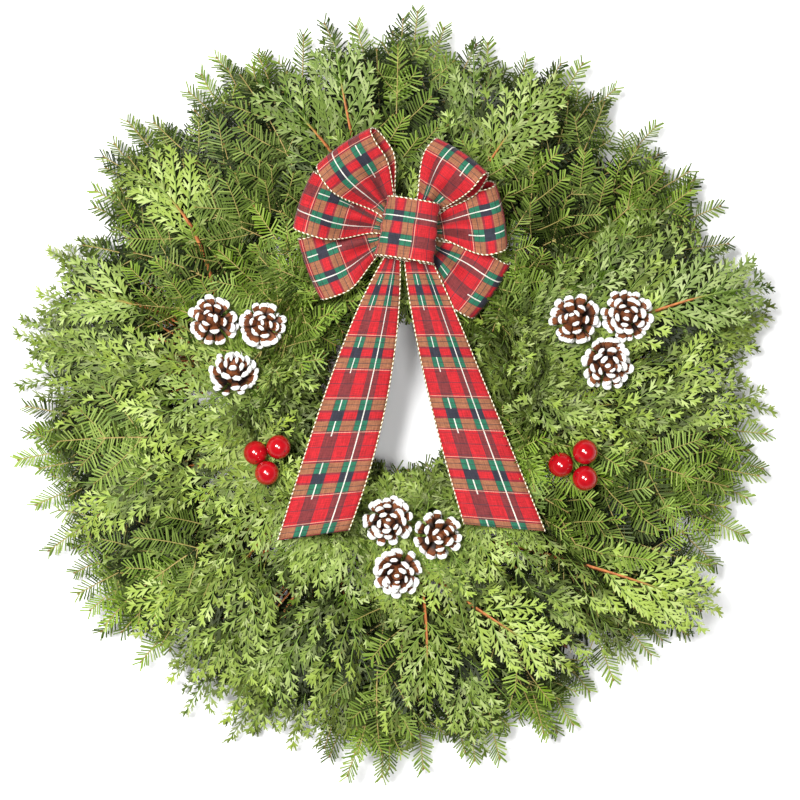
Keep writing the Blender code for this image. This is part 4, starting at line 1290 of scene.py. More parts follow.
@dataclass(frozen=True)
class LeafTree:
    """Geometry nodes that clothe a skeleton of twigs in bark and leaves."""

    name: str
    even: bool = False
    least_leaf: float = 0.0015
    least_girth: float = 0.0001
    bark_sides: int = 3
    nudge: float = 0.0009
    swing: float = 0.14

    def leaves(
        self, add: Add, given: Sockets, spots: Sockets, shared: dict, rank: float, offset: int
    ) -> Socket:
        """Leaves along one side of every twig.

        Args:
            add: what adds a node to the tree.
            given: the sockets of the tree's inputs.
            spots: the sockets of the points along the twigs.
            shared: sockets that both sides use: above, beside, shape, leafy, reach, lean and broad.
            rank: the side, -1 or 1.
            offset: 0 or 1, which moves the second side's leaves on by half a pitch.

        Returns:
            The socket of the placed leaves, each with a number called luck.
        """
        ahead, reach = spots["Tangent"], shared["reach"]
        seed = add("ShaderNodeMath ADD", given["Seed"], 10.0 * offset)
        swung = add(CHANCE, {2: -self.swing, 3: self.swing, "Seed": seed}, out=1)
        angle = add("ShaderNodeMath ADD", shared["lean"], swung)
        lot = add("ShaderNodeMath ADD", seed, 1.0)
        rise = add(CHANCE, {2: given["Rise Low"], 3: given["Rise High"], "Seed": lot}, out=1)
        along = add("ShaderNodeVectorMath SCALE", {0: ahead, 3: add("ShaderNodeMath COSINE", angle)})
        sine = add(TIMES, add("ShaderNodeMath SINE", angle), rank)
        outward = add("ShaderNodeVectorMath SCALE", {0: shared["beside"], 3: sine})
        lifted = add("ShaderNodeVectorMath SCALE", {0: shared["above"], 3: rise})
        point_to = add("ShaderNodeVectorMath ADD", add("ShaderNodeVectorMath ADD", along, outward), lifted)
        spread = add(CHANCE, {2: 0.82, 3: 1.12, "Seed": add("ShaderNodeMath ADD", seed, 2.0)}, out=1)
        length = add(TIMES, reach, spread)
        width = add(TIMES, given["Leaf Width"], shared["broad"])
        width = add(TIMES, width, length) if self.even else width
        stagger = add(TIMES, given["Leaf Pitch"], 0.5 * offset)
        nudge = add(
            CHANCE, {2: -self.nudge, 3: self.nudge, "Seed": add("ShaderNodeMath ADD", seed, 4.0)}, out=1
        )
        slide = add("ShaderNodeVectorMath SCALE", {0: ahead, 3: add("ShaderNodeMath ADD", stagger, nudge)})
        values = {
            "Points": add("GeometryNodeSetPosition", {"Geometry": spots["Points"], "Offset": slide}),
            "Selection": shared["leafy"],
            "Instance": shared["shape"],
            "Rotation": add(
                "FunctionNodeAxesToRotation",
                {"Primary Axis": point_to, "Secondary Axis": shared["above"]},
                primary_axis="Z",
                secondary_axis="Y",
            ),
            "Scale": add("ShaderNodeCombineXYZ", {0: width, 1: width, 2: length}),
        }
        placed = add("GeometryNodeInstanceOnPoints", values)
        luck = add(CHANCE, {2: 0.0, 3: 1.0, "Seed": add("ShaderNodeMath ADD", seed, 3.0)}, out=1)
        return add(
            "GeometryNodeStoreNamedAttribute",
            {"Geometry": placed, "Name": "luck", "Value": luck},
            domain="INSTANCE",
        )

    def bark(self, add: Add, given: Sockets, lines: Socket) -> Socket:
        """Bark round the twigs that have a girth.

        Args:
            add: what adds a node to the tree.
            given: the sockets that give the tree's inputs.
            lines: the twigs as curves.

        Returns:
            The socket of the bark's mesh.
        """
        girth = add(STORED, {"Name": "girth"})
        coarse = add(
            "GeometryNodeResampleCurve", {"Curve": lines, "Length": given["Stem Pitch"]}, mode="LENGTH"
        )
        values = {"Resolution": self.bark_sides, "Radius": 1.0}
        ring = add("GeometryNodeCurvePrimitiveCircle", values)
        thin = add("FunctionNodeCompare LESS_THAN", girth, self.least_girth)
        values = {"Geometry": coarse, "Selection": thin}
        barked = add("GeometryNodeDeleteGeometry", values, domain="CURVE")
        values = {"Curve": barked, "Profile Curve": ring, "Scale": girth, "Fill Caps": True}
        return clothed(add, add("GeometryNodeCurveToMesh", values), given["Bark Finish"])

    def ends(
        self, add: Add, given: Sockets, fine: Socket, side: Socket, leafy: Socket, reach: Socket
    ) -> Socket:
        """One bud or leaf at the tip of every leafy twig.

        Args:
            add: what adds a node to the tree.
            given: the sockets that give the tree's inputs.
            fine: the twigs as finely cut curves.
            side: direction across each twig.
            leafy: 1 where leaves grow.
            reach: length of the leaves there.

        Returns:
            The socket of the leaves.
        """
        values = {"Start Size": 0, "End Size": 1}
        last = add("GeometryNodeCurveEndpointSelection", values)
        way = add("GeometryNodeInputTangent")
        upward = add("ShaderNodeVectorMath CROSS_PRODUCT", side, way)
        values = {
            "Points": fine,
            "Selection": add("FunctionNodeBooleanMath", {0: last, 1: leafy}, operation="AND"),
            "Instance": add("GeometryNodeObjectInfo", {"Object": given["Tip Shape"]}, out="Geometry"),
            "Rotation": add(
                "FunctionNodeAxesToRotation",
                {"Primary Axis": way, "Secondary Axis": upward},
                primary_axis="Z",
                secondary_axis="Y",
            ),
            "Scale": add(TIMES, reach, given["Tip Size"]),
        }
        return clothed(add, add("GeometryNodeInstanceOnPoints", values), given["Tip Finish"])

    def build(self) -> Tree:
        """Make the tree, with inputs for the leaf's shape, pitch, width and rise.

        Where the tree is even, Leaf Width is a share of each leaf's own length.
        """
        inputs = {
            "Twigs": "Geometry", "Leaf Shape": "Object", "Leaf Pitch": "Float", "Leaf Width": "Float",
            "Rise Low": "Float", "Rise High": "Float", "Stem Pitch": "Float", "Seed": "Int",
            "Leaf Finish": "Material", "Bark Finish": "Material", "Tip Shape": "Object",
            "Tip Size": "Float", "Tip Finish": "Material",
        }
        tree, add, given = new_tree(self.name, inputs, "Spray")
        lines = add("GeometryNodeMeshToCurve", {"Mesh": given["Twigs"]})
        side = add(STORED, {"Name": "side"}, data_type="FLOAT_VECTOR")
        fine = add(
            "GeometryNodeResampleCurve", {"Curve": lines, "Length": given["Leaf Pitch"]}, mode="LENGTH"
        )
        spots = add("GeometryNodeCurveToPoints", {"Curve": fine}, mode="EVALUATED", out=None)
        ahead = spots["Tangent"]
        above = add(
            "ShaderNodeVectorMath NORMALIZE", add("ShaderNodeVectorMath CROSS_PRODUCT", side, ahead)
        )
        shared = {name: add(STORED, {"Name": name}) for name in ("reach", "lean", "broad")}
        leafy = add("FunctionNodeCompare GREATER_THAN", shared["reach"], self.least_leaf)
        shared |= {
            "above": above,
            "beside": add(
                "ShaderNodeVectorMath NORMALIZE", add("ShaderNodeVectorMath CROSS_PRODUCT", ahead, above)
            ),
            "shape": add("GeometryNodeObjectInfo", {"Object": given["Leaf Shape"]}, out="Geometry"),
            "leafy": leafy,
        }
        copies = [
            self.leaves(add, given, spots, shared, rank, offset)
            for offset, rank in enumerate((-1.0, 1.0))
        ]
        both = add("GeometryNodeJoinGeometry", {0: copies[::-1]})
        leaves = clothed(add, both, given["Leaf Finish"])
        ended = self.ends(add, given, fine, side, leafy, shared["reach"])
        spray = add("GeometryNodeJoinGeometry", {0: [leaves, ended, self.bark(add, given, lines)]})
        add("NodeGroupOutput", {"Spray": spray}, out=None)
        return tree


@dataclass
class Canopy:
    """Height of the highest leafy twig over each spot of the wreath, from which each leaf's share of light
    and painted shade follow.
    """

    cell: float = 0.005
    half: float = 0.45
    spread: float = 0.0100
    full_depth: float = 0.021
    skin: float = 0.002
    fade: float = 2.1
    # least light on the inner and the outer slope, and the radius where each slope is in full light
    inner_light: float = 0.30
    inner_from: float = 0.155
    outer_light: float = 0.42
    outer_from: float = 0.325
    slope_width: float = 0.03

    def __post_init__(self) -> None:
        """Start with an empty field."""
        count = int(2 * self.half / self.cell)
        self.top = np.zeros((count, count))

    def rows(self, places: np.ndarray) -> tuple:
        """Cell numbers of an array of points."""
        cells = ((places[:, :2] + self.half) / self.cell).astype(int)
        return tuple(np.clip(cells, 0, len(self.top) - 1).T)

    def cover(self, bones: Skeleton) -> None:
        """Raise the field to the leafy twigs of one bunch.

        Args:
            bones: the bunch's twigs.
        """
        leafy = np.array(bones.reach) > 0
        edges = np.array([e for e in bones.edges if leafy[e[0]] and leafy[e[1]]])
        first, last = bones.places[edges[:, 0]], bones.places[edges[:, 1]]
        for share in np.linspace(0, 1, 5):
            spots = first + (last - first) * share
            np.maximum.at(self.top, self.rows(spots), spots[:, 2])

    def widen(self) -> None:
        """Spread each height over the reach of its leaves."""
        wide = self.top.copy()
        reach = int(round(self.spread / self.cell))
        for x in range(-reach, reach + 1):
            for y in range(-reach, reach + 1):
                if x * x + y * y <= reach * reach + 1:
                    wide = np.maximum(wide, np.roll(self.top, (x, y), (0, 1)))
        self.top = wide

    def openness(self, places: np.ndarray) -> np.ndarray:
        """Share of light at each point: 1 on top, 0 deep inside, less than half on both slopes.

        Args:
            places: an array of points.

        Returns:
            The share at each of them.
        """
        buried = (self.top[self.rows(places)] - places[:, 2] - self.skin) / self.full_depth
        out = np.linalg.norm(places[:, :2], axis=1)
        inner = self.inner_light * np.clip((self.inner_from - out) / self.slope_width, 0, 1)
        outer = self.outer_light * np.clip((out - self.outer_from) / self.slope_width, 0, 1)
        return np.maximum(np.clip(1.0 - buried, 0.0, 1.0) ** self.fade, np.maximum(inner, outer))


@dataclass
class Skeleton:
    """Lines of twigs with the values that the leaf tree reads from each point."""

    points: list = field(default_factory=list)
    edges: list = field(default_factory=list)
    side: list = field(default_factory=list)
    reach: list = field(default_factory=list)
    lean: list = field(default_factory=list)
    girth: list = field(default_factory=list)
    tone: list = field(default_factory=list)
    green: list = field(default_factory=list)
    broad: list = field(default_factory=list)
    top_shade: float = 0.34
    top_at: float = 0.26
    bare_tone: float = 0.5
    pressed_light: float = 0.72

    def add(
        self, line: list, side: list, reach: list, lean: list, girth: list, tone: float,
        green: list | None = None, broad: float = 1.0,
    ) -> None:
        """Add one twig.

        Args:
            line: its points from the root to the tip.
            side: direction across the flat of the spray at each point.
            reach: leaf length at each point, 0 for none.
            lean: angle in radians between leaf and twig at each point.
            girth: radius of the bark at each point.
            tone: lightness of the whole twig, 0 to 1.
            green: share of green in the bark at each point, none if left out.
            broad: width of its leaves against the usual one.
        """
        first, count = len(self.points), len(line)
        self.points += [tuple(p) for p in line]
        self.edges += [(k, k + 1) for k in range(first, first + count - 1)]
        self.side += side
        self.reach += reach
        self.lean += lean
        self.girth += girth
        self.tone += [tone] * count
        self.green += green or [0.0] * count
        self.broad += [broad] * count

    def settle(self, clear: Callable[[np.ndarray], np.ndarray]) -> None:
        """Move every point to where greens have room, by the function given."""
        before = np.array(self.points)
        self.places = clear(before)
        self.pressed = before[:, 2] > self.places[:, 2] + 0.0001

    def to_object(self, canopy: Canopy) -> Piece:
        """Make the mesh of edges.

        Args:
            canopy: the tops of all greens, which say how deep each point lies.

        Returns:
            The skeleton's object with its values as attributes.
        """
        data = bpy.data.meshes.new("twigs")
        data.from_pydata(self.places.tolist(), self.edges, [])
        for name in ("lean", "girth", "green", "broad"):
            set_floats(data, name, getattr(self, name))
        # The depth mark is each point's share of light, which the leaf finish turns into painted shade.
        depth = canopy.openness(self.places)
        # The sprays at the top of the wreath are darker, and half the buried twigs are bare.
        tone, reach = np.array(self.tone), np.array(self.reach)
        set_floats(data, "reach", np.where((depth < 0.01) & (tone > self.bare_tone), 0.0, reach))
        high = np.clip(self.places[:, 1] / self.top_at, -0.15, 1.0)
        set_floats(data, "tone", tone - self.top_shade * high)
        # What the bow, cones and berries press down lies open to the light beside them.
        lit = np.maximum(depth, self.pressed_light)
        set_floats(data, "depth", np.where(self.pressed, lit, depth))
        set_vectors(data, "side", self.side)
        return new_object("twigs", data)


@dataclass(frozen=True)
class SprayPlan:
    """One spray of a bunch, in the bunch's own out, across and height."""

    bend: tuple[float, float, float]
    tip: tuple[float, float, float]
    bare: float
    roll: float
    inner: bool = False
    backing: bool = False


@dataclass
class Greens:
    """Every bunch of fir and cedar, in a low and an upper layer round the ring."""

    bow: Bow
    cones: Cones
    berries: Berries
    per_layer: int = 14
    first_angle: float = 11.3
    core_height: float = 0.0104
    core_offset: float = 0.0076
    core_span: tuple[float, float] = (0.132, 0.183)
    core_inset: float = 0.006
    scatter: float = 0.0032
    floor_clear: float = 0.009
    hole_radius: float = 0.070
    stem_steps: int = 14
    twig_steps: int = 4
    stem_pitch: float = 0.013
    fir_needle: float = 0.0168
    fir_pitch: float = 0.0029
    fir_width: float = 0.0017
    # along a side twig: shares of the leaf's length, its lean in degrees and the twig's girth
    fir_lengths: tuple = (0.55, 0.96, 0.96, 0.88, 0.62)
    fir_leans: tuple = (72, 74, 72, 66, 34)
    fir_girths: tuple = (0.0008, 0.00075, 0.0007, 0.0006, 0.0005)
    cedar_pitch: float = 0.0077
    cedar_leaf: float = 0.0158
    cedar_fork: float = 34.0
    cedar_spread: float = 0.0108
    cedar_lengths: tuple = (0.72, 1.0, 0.96, 0.80, 0.66)
    cedar_girths: tuple = (0.0009, 0.0008, 0.0007, 0.0006, 0.0005)
    # least and greatest length of a side twig
    fir_twig: tuple[float, float] = (0.014, 0.066)
    cedar_twig: tuple[float, float] = (0.008, 0.054)
    # what lies on the greens: radius or share of it, level beneath, and slope beside it
    bow_cover: tuple = (0.105, 0.086, 0.8)
    tail_cover: tuple = (0.012, 0.0905, 0.6)
    cone_cover: tuple = (1.2, -0.004, 0.9)
    berry_cover: tuple = (1.15, -0.8, 1.0)
    lower_kinds: str = "CFFFFFCFFCFFFF"
    upper_kinds: str = "CFCCFFCCCCCCFC"
    # outward sprays: how far out and across the tip lies, its height and the crest's
    rim: tuple = (
        (0.386, 0.004, 0.022, 0.052), (0.378, 0.034, 0.020, 0.050), (0.378, -0.036, 0.022, 0.050),
        (0.374, 0.066, 0.026, 0.052), (0.372, -0.068, 0.024, 0.052), (0.360, 0.018, 0.034, 0.058),
        (0.358, -0.020, 0.036, 0.058), (0.346, 0.050, 0.038, 0.060), (0.384, -0.016, 0.030, 0.056),
        (0.382, 0.020, 0.032, 0.056),
    )
    risen: tuple = ((0.356, -0.006, 0.050, 0.100), (0.300, 0.026, 0.058, 0.108))
    top: tuple = (
        (0.362, 0.014, 0.044, 0.086), (0.344, -0.050, 0.046, 0.088), (0.336, 0.056, 0.046, 0.088),
        (0.308, -0.014, 0.056, 0.100), (0.284, 0.044, 0.060, 0.104), (0.266, -0.046, 0.062, 0.106),
    )
    over: tuple = (
        (0.238, 0.010, 0.074, 0.124), (0.218, -0.034, 0.080, 0.122), (0.204, 0.034, 0.082, 0.120),
    )
    under: tuple = ((0.232, 0.0, 0.044, 0.082),)
    # pairs of sprays beside the top: the bend; how far out the tip lies and by how much that may
    # change; how far across it may lie; its height; the bare share and the roll
    beside: tuple = (
        ((0.140, 0.020, 0.108), 0.132, (-0.012, 0.014), (0.050, 0.062), 0.076, 0.16, 18),
        ((0.164, 0.012, 0.120), 0.112, (-0.006, 0.010), (0.018, 0.036), 0.092, 0.34, 18),
        ((0.100, 0.022, 0.118), 0.168, (-0.010, 0.010), (-0.020, 0.006), 0.098, 0.30, 20),
        ((0.172, 0.028, 0.092), 0.222, (-0.016, 0.016), (0.058, 0.074), 0.064, 0.22, 22),
    )
    # short sprays that close the back: how far out and across the tip lies
    backing: tuple = ((0.302, -0.054), (0.310, -0.019), (0.310, 0.019), (0.302, 0.054))
    # bunch: bend and tip in the wreath's own frame, bare share, woody share of the rest
    long_sprays: dict[str, tuple] = field(
        default_factory=lambda: {
            "cedar_bunch_01": (((0.290, 0.105, 0.112), (0.372, 0.108, 0.058), 0.40, 0.25),),
            "cedar_bunch_02": (((-0.245, 0.120, 0.108), (-0.352, 0.086, 0.052), 0.40, 0.20),),
            "cedar_bunch_05": (((0.098, 0.250, 0.112), (0.158, 0.312, 0.084), 0.36, 0.20),),
            "cedar_bunch_06": (
                ((-0.046, 0.258, 0.116), (-0.060, 0.350, 0.078), 0.34, 0.50),
                ((-0.062, 0.256, 0.114), (-0.128, 0.306, 0.088), 0.40, 0.30),
            ),
            "cedar_bunch_07": (((-0.170, 0.185, 0.118), (-0.268, 0.226, 0.062), 0.48, 0.30),),
            "cedar_bunch_11": (
                ((0.036, -0.212, 0.122), (0.030, -0.312, 0.084), 0.22, 0.50),
                ((0.082, -0.212, 0.122), (0.168, -0.268, 0.080), 0.26, 0.45),
            ),
            "cedar_bunch_12": (((0.222, -0.172, 0.116), (0.318, -0.214, 0.072), 0.34, 0.40),),
        }
    )

    def needle_shape(self) -> Piece:
        """Blunt fir needle along +Z, one unit long and wide, flat with a swollen middle."""
        points = [(-0.38, 0, 0), (0.38, 0, 0), (0.44, 0, 0.96), (-0.44, 0, 0.96), (0, 0.30, 0.55)]
        faces = [(4, 1, 0), (4, 2, 1), (4, 3, 2), (4, 0, 3), (0, 1, 2, 3)]
        piece = mesh_piece("needle_shape", points, faces)
        set_floats(piece.data, "under", [0.0, 0.0, 0.0, 0.0, 1.0], "FACE")
        return piece

    def frond_shape(self) -> Piece:
        """Flat cedar branchlet along +Z with a lobe on either side, one unit long and wide."""
        outline = (
            (0.0, 0.0), (0.08, 0.22), (0.29, 0.56), (0.23, 0.64), (0.08, 0.40),
            (0.05, 0.99), (-0.05, 0.99), (-0.08, 0.64), (-0.25, 0.86), (-0.09, 0.42),
        )
        points = [(x, 0.0, z) for x, z in outline] + [(0.0, 0.08, 0.45)]
        count = len(outline)
        faces = [(count, (k + 1) % count, k) for k in range(count)] + [tuple(range(count))]
        piece = mesh_piece("frond_shape", points, faces)
        set_floats(piece.data, "under", [0.0] * count + [1.0], "FACE")
        return piece

    def bud_shape(self) -> Piece:
        """Small resin-coated bud along +Z, one unit long."""
        ring = [(0.32 * math.cos(a), 0.32 * math.sin(a), 0.42) for a in (0.0, 1.571, 3.142, 4.712)]
        points = [*ring, (0.0, 0.0, -0.1), (0.0, 0.0, 1.0)]
        return mesh_piece("bud_shape", points, turned_faces(0, len(ring), 1, len(ring), len(ring) + 1))

    def covers(self) -> list[tuple]:
        """What lies on the greens, each as a round cover.

        Returns:
            The middle, the radius, the highest level for greens beneath and the slope beside it.
        """
        found = [(self.bow.centre, *self.bow_cover)]
        least, beneath, slope = self.tail_cover
        for left, right in self.bow.tail_edges.values():
            for share in (i / 20 for i in range(21)):
                a, b = bezier(left, share), bezier(right, share)
                found.append((tuple((a + b) / 2), max((b - a).length / 2, least), beneath, slope))
        wide, sunk, slope = self.cone_cover
        for cones in self.cones.clusters.values():
            for x, y, lift, radius, _, _ in cones:
                found.append(((x, y), radius * wide, self.cones.base_height + lift + sunk, slope))
        wide, sunk, slope = self.berry_cover
        for radius, spots in self.berries.picks.values():
            for x, y, level in spots:
                found.append(((x, y), radius * wide, level + radius * sunk, slope))
        return found

    def clear(self, points: np.ndarray) -> np.ndarray:
        """Move points out of the open middle, off the floor and below what lies on the greens.

        Args:
            points: an array of points.

        Returns:
            Their new places.
        """
        flat, level = points[:, :2], points[:, 2]
        out = np.linalg.norm(flat, axis=1, keepdims=True)
        flat = flat * np.maximum(out, self.hole_radius) / np.maximum(out, 1e-9)
        for middle, radius, beneath, slope in self.covers():
            away = np.linalg.norm(flat - np.array(middle), axis=1) - radius
            level = np.minimum(level, beneath + slope * np.maximum(away, 0))
        return np.column_stack([flat, np.maximum(level, self.floor_clear)])

    def plans(self, habit: Habit, upper: bool, luck: random.Random) -> list[SprayPlan]:
        """Sprays of one bunch.

        Args:
            habit: fir or cedar.
            upper: whether the bunch is in the upper layer.
            luck: source of chance.

        Returns:
            The plans, from the rim inward.
        """
        wave = luck.uniform
        risen = self.risen[: luck.choice((1, 1, 2))] if habit is Habit.FIR else ()
        made = []
        for row, (out, across, height, crest) in enumerate(self.top if upper else self.rim + risen):
            out, across = out + wave(-0.018, 0.005), across + wave(-0.022, 0.022)
            veer = wave(-0.034, 0.034) if upper else wave(-0.020, 0.020)
            bend = (mix(0.17, out, 0.45), across * 0.45 + veer, crest + wave(-0.008, 0.008))
            tip = (out, across, height + wave(-0.008, 0.008))
            bare = wave(0.22, 0.30) if upper or row >= len(self.rim) else wave(0.36, 0.44)
            made.append(SprayPlan(bend, tip, bare, wave(-28, 28)))
        for out, across, height, crest in self.over if upper else self.under:
            tip = (out + wave(-0.014, 0.014), across + wave(-0.014, 0.014), height)
            bend = (0.116 + wave(-0.008, 0.008), across * 0.6, crest)
            made.append(SprayPlan(bend, tip, 0.15, wave(-24, 24), True))
        height, crest = (0.060, 0.102) if upper else (0.024, 0.048)
        for across in (-0.020, -0.001, 0.018) if upper else (-0.020, 0.001, 0.021):
            tip = (0.078 + wave(-0.004, 0.008), across + wave(-0.006, 0.006), height + wave(-0.008, 0.010))
            made.append(SprayPlan((0.122, across, crest), tip, 0.14, wave(-26, 26), True))
        if upper:
            for sign in (-1, 1):
                for (far, aside, crest), out, change, across, height, bare, roll in self.beside:
                    tip = (out + wave(*change), sign * wave(*across), height)
                    made.append(SprayPlan((far, sign * aside, crest), tip, bare, wave(-roll, roll), True))
            return made
        for out, across in self.backing:
            bend = (0.24, across * 0.9, 0.020)
            made.append(SprayPlan(bend, (out, across, 0.014), 0.04, wave(-6, 6), False, True))
        for across in (-0.020, 0.0, 0.020):
            bend = (0.105, across, 0.030)
            made.append(SprayPlan(bend, (0.094, across, 0.018), 0.04, wave(-6, 6), True, True))
        return made

    def stem(self, start: Vector, bend: Vector, tip: Vector) -> list[Vector]:
        """Points of a spray's stem."""
        return [bezier([start, bend, tip], i / self.stem_steps) for i in range(self.stem_steps + 1)]

    def carried(self, line: list[Vector], side: Vector, roll: float, bare: float) -> list[tuple]:
        """Direction, side and upward vector at each point, carried along without twist.

        Args:
            line: points of the twig.
            side: direction across it at its root.
            roll: turn of the spray's flat about the twig, in degrees.
            bare: share of the line over which the roll comes in.

        Returns:
            One tuple of three unit vectors for each point.
        """
        frames = []
        last = len(line) - 1
        for i in range(len(line)):
            ahead = (line[min(i + 1, last)] - line[max(i - 1, 0)]).normalized()
            side = (side - ahead * side.dot(ahead)).normalized()
            up = side.cross(ahead)
            turn = Matrix.Rotation(math.radians(roll) * smoothstep(i / last / max(bare, 0.01)), 3, ahead)
            frames.append((ahead, turn @ side, turn @ up))
        return frames

    def branch(
        self, line: list, frames: list, at: float, sign: int, length: float, angle: float,
        sweep: float, droop: float,
    ) -> tuple[list, list]:
        """Side twig that leaves a stem in the flat of the spray.

        Args:
            line: points of the stem.
            frames: direction, side and upward vector at each of them.
            at: where it leaves, as a number of steps along the stem.
            sign: side that it leaves on, -1 or 1.
            length: its length.
            angle: angle to the stem in degrees.
            sweep: how far it turns forward along its length, in degrees.
            droop: drop of its tip as a share of its length.

        Returns:
            Its points, and the direction across its flat at each point.
        """
        i = min(int(at), len(line) - 2)
        ahead, side, up = frames[i]
        spot = mix(line[i], line[i + 1], at - i)
        steps = self.twig_steps
        twig, ways = [spot], []
        for step in range(steps):
            turn = math.radians(angle - sweep * (step + 0.5) / steps)
            way = ahead * math.cos(turn) + side * sign * math.sin(turn) - up * droop * (step / steps)
            ways.append(way.normalized())
            spot = spot + ways[-1] * length / steps
            twig.append(spot)
        ways.append(ways[-1])
        return twig, [up.cross(way).normalized() for way in ways]

    def grow_fir(self, bones: Skeleton, line: list, frames: list, bare: float, luck: random.Random) -> None:
        """Put needles and pairs of side twigs on a fir spray.

        Args:
            bones: the twigs of the bunch, which grow.
            line: points along the spray's stem.
            frames: way, side and up at each of them.
            bare: share of the stem without leaves.
            luck: the bunch's random draws.
        """
        tone = luck.random()
        count = len(line) - 1
        leafy = sum((b - a).length for a, b in zip(line, line[1:])) * (1 - bare)
        reach, lean, girth = [], [], []
        for i in range(count + 1):
            share = (i / count - bare) / (1 - bare)
            grown = smoothstep(share / 0.06) if share > 0 else 0.0
            reach.append(self.fir_needle * grown * mix(1.0, 0.66, smoothstep((share - 0.7) / 0.3)))
            lean.append(math.radians(mix(74, 34, smoothstep((share - 0.76) / 0.24))))
            girth.append(mix(0.0013, 0.00065, i / count))
        bones.add(line, [f[1] for f in frames], reach, lean, girth, tone, [0.25] * (count + 1))
        lengths = [self.fir_needle * s for s in self.fir_lengths]
        leans = [math.radians(a) for a in self.fir_leans]
        nodes = [0.03] if leafy < 0.05 else [0.02, 0.42] if leafy < 0.095 else [0.02, 0.30, 0.60]
        for node in nodes:
            share = node + luck.uniform(0.0, 0.06)
            at = (bare + (1 - bare) * share) * count
            for sign in (-1, 1):
                length = min(leafy * (1 - share) * luck.uniform(0.52, 0.72), self.fir_twig[1])
                if length < self.fir_twig[0]:
                    continue
                droop = luck.uniform(-0.05, 0.22)
                twig, across = self.branch(line, frames, at, sign, length, luck.uniform(44, 58), 12, droop)
                light = min(1.0, tone + luck.uniform(-0.1, 0.2))
                green = [0.5] * len(twig)
                bones.add(twig, across, lengths, leans, list(self.fir_girths), light, green)

    def grow_cedar(
        self, bones: Skeleton, line: list, frames: list, bare: float, luck: random.Random, woody: float
    ) -> None:
        """Put scale-clad twigs on a cedar fan, twice branched in one flat.

        Args:
            bones: the twigs of the bunch, which grow.
            line: points along the spray's stem.
            frames: way, side and up at each of them.
            bare: share of the stem without leaves.
            luck: the bunch's random draws.
            woody: share of the stem whose bark shows.
        """
        tone = luck.random()
        count = len(line) - 1
        leafy = sum((b - a).length for a, b in zip(line, line[1:])) * (1 - bare)
        leaf, pitch = self.cedar_leaf, self.cedar_spread
        fork = math.radians(self.cedar_fork)
        reach, girth, green = [], [], []
        for i in range(count + 1):
            share = (i / count - bare) / (1 - bare)
            reach.append(leaf * mix(0.9, 0.7, share) if share > woody - 0.02 else 0.0)
            girth.append(mix(0.0016 + 0.0008 * (woody > 0.1), 0.0007, smoothstep(share + 0.4 - woody)))
            green.append(smoothstep((share - woody) / 0.2))
        bones.add(line, [f[1] for f in frames], reach, [fork] * (count + 1), girth, tone, green)
        for number in range(int(leafy * 0.90 / pitch)):
            share = 0.02 + number * pitch / leafy
            length = leafy * 0.46 * min(1.0, 0.55 + share * 1.8) * (1 - share) ** 0.65
            length *= luck.uniform(0.74, 1.14)
            if length < self.cedar_twig[0]:
                continue
            at = (bare + (1 - bare) * share) * count
            sign = 1 if number % 2 else -1
            length = min(length, self.cedar_twig[1])
            droop = luck.uniform(-0.05, 0.25)
            twig, across = self.branch(line, frames, at, sign, length, luck.uniform(38, 50), 16, droop)
            full = leaf * mix(0.72, 1.06, min(length / 0.04, 1.0))
            lengths = [full * k for k in self.cedar_lengths]
            light = min(1.0, tone + luck.uniform(0.0, 0.2))
            forks, ones = [fork] * len(twig), [1.0] * len(twig)
            bones.add(twig, across, lengths, forks, list(self.cedar_girths), light, ones)

    def grow_backing(self, bones: Skeleton, line: list, frames: list, habit: Habit) -> None:
        """Put long, broad, aged leaves on one of the short sprays that close a bunch's back.

        Args:
            bones: the twigs of the bunch, which grow.
            line: points along the spray's stem.
            frames: way, side and up at each of them.
            habit: fir or cedar.
        """
        count = len(line) - 1
        longest, broad = (0.024, 1.6) if habit is Habit.FIR else (0.026, 1.2)
        reach = [longest * min(1.0, 0.3 + 4 * i / count) for i in range(count + 1)]
        lean = [math.radians(mix(72, 40, i / count)) for i in range(count + 1)]
        girth = [0.0011] * (count + 1)
        bones.add(line, [f[1] for f in frames], reach, lean, girth, 0.2, None, broad)

    def bunch(self, node: str, habit: Habit, angle: float, upper: bool, luck: random.Random) -> Skeleton:
        """Skeleton of one bunch.

        Args:
            node: name of its solid.
            habit: fir or cedar.
            angle: its middle, in degrees round the wreath.
            upper: whether it lies in the upper layer.
            luck: source of chance.

        Returns:
            Its settled skeleton.
        """
        ahead = polar(1.0, angle)
        aside = Vector((-ahead.y, ahead.x, 0))
        core_ahead = polar(1.0, angle + 90.0 / self.per_layer * (-1 if upper else 1))
        core_aside = Vector((-core_ahead.y, core_ahead.x, 0)) * self.core_offset * (1 if upper else -1)
        base = core_aside + Vector((0, 0, self.core_height))
        inner, outer = self.core_span[0] + self.core_inset, self.core_span[1] - self.core_inset
        bones = Skeleton()
        for plan in self.plans(habit, upper, luck):
            scatter = Vector((luck.uniform(-1, 1), luck.uniform(-1, 1), luck.uniform(-1, 1)))
            start = core_ahead * (inner if plan.inner else outer) + base + scatter * self.scatter
            bend, tip = (
                ahead * p[0] + aside * p[1] + Vector((0, 0, p[2])) for p in (plan.bend, plan.tip)
            )
            line = self.stem(start, bend, tip)
            outward = plan.tip[0] > plan.bend[0]
            frames = self.carried(line, -aside if outward else aside, plan.roll, plan.bare)
            if plan.backing:
                self.grow_backing(bones, line, frames, habit)
            elif habit is Habit.FIR:
                self.grow_fir(bones, line, frames, plan.bare, luck)
            else:
                self.grow_cedar(bones, line, frames, plan.bare, luck, 0.04)
        for bend, tip, bare, woody in self.long_sprays.get(node, ()):
            line = self.stem(core_ahead * outer + base, Vector(bend), Vector(tip))
            way = (line[-1] - line[0]).normalized()
            frames = self.carried(line, Vector((way.y, -way.x, 0)), luck.uniform(-12, 12), bare)
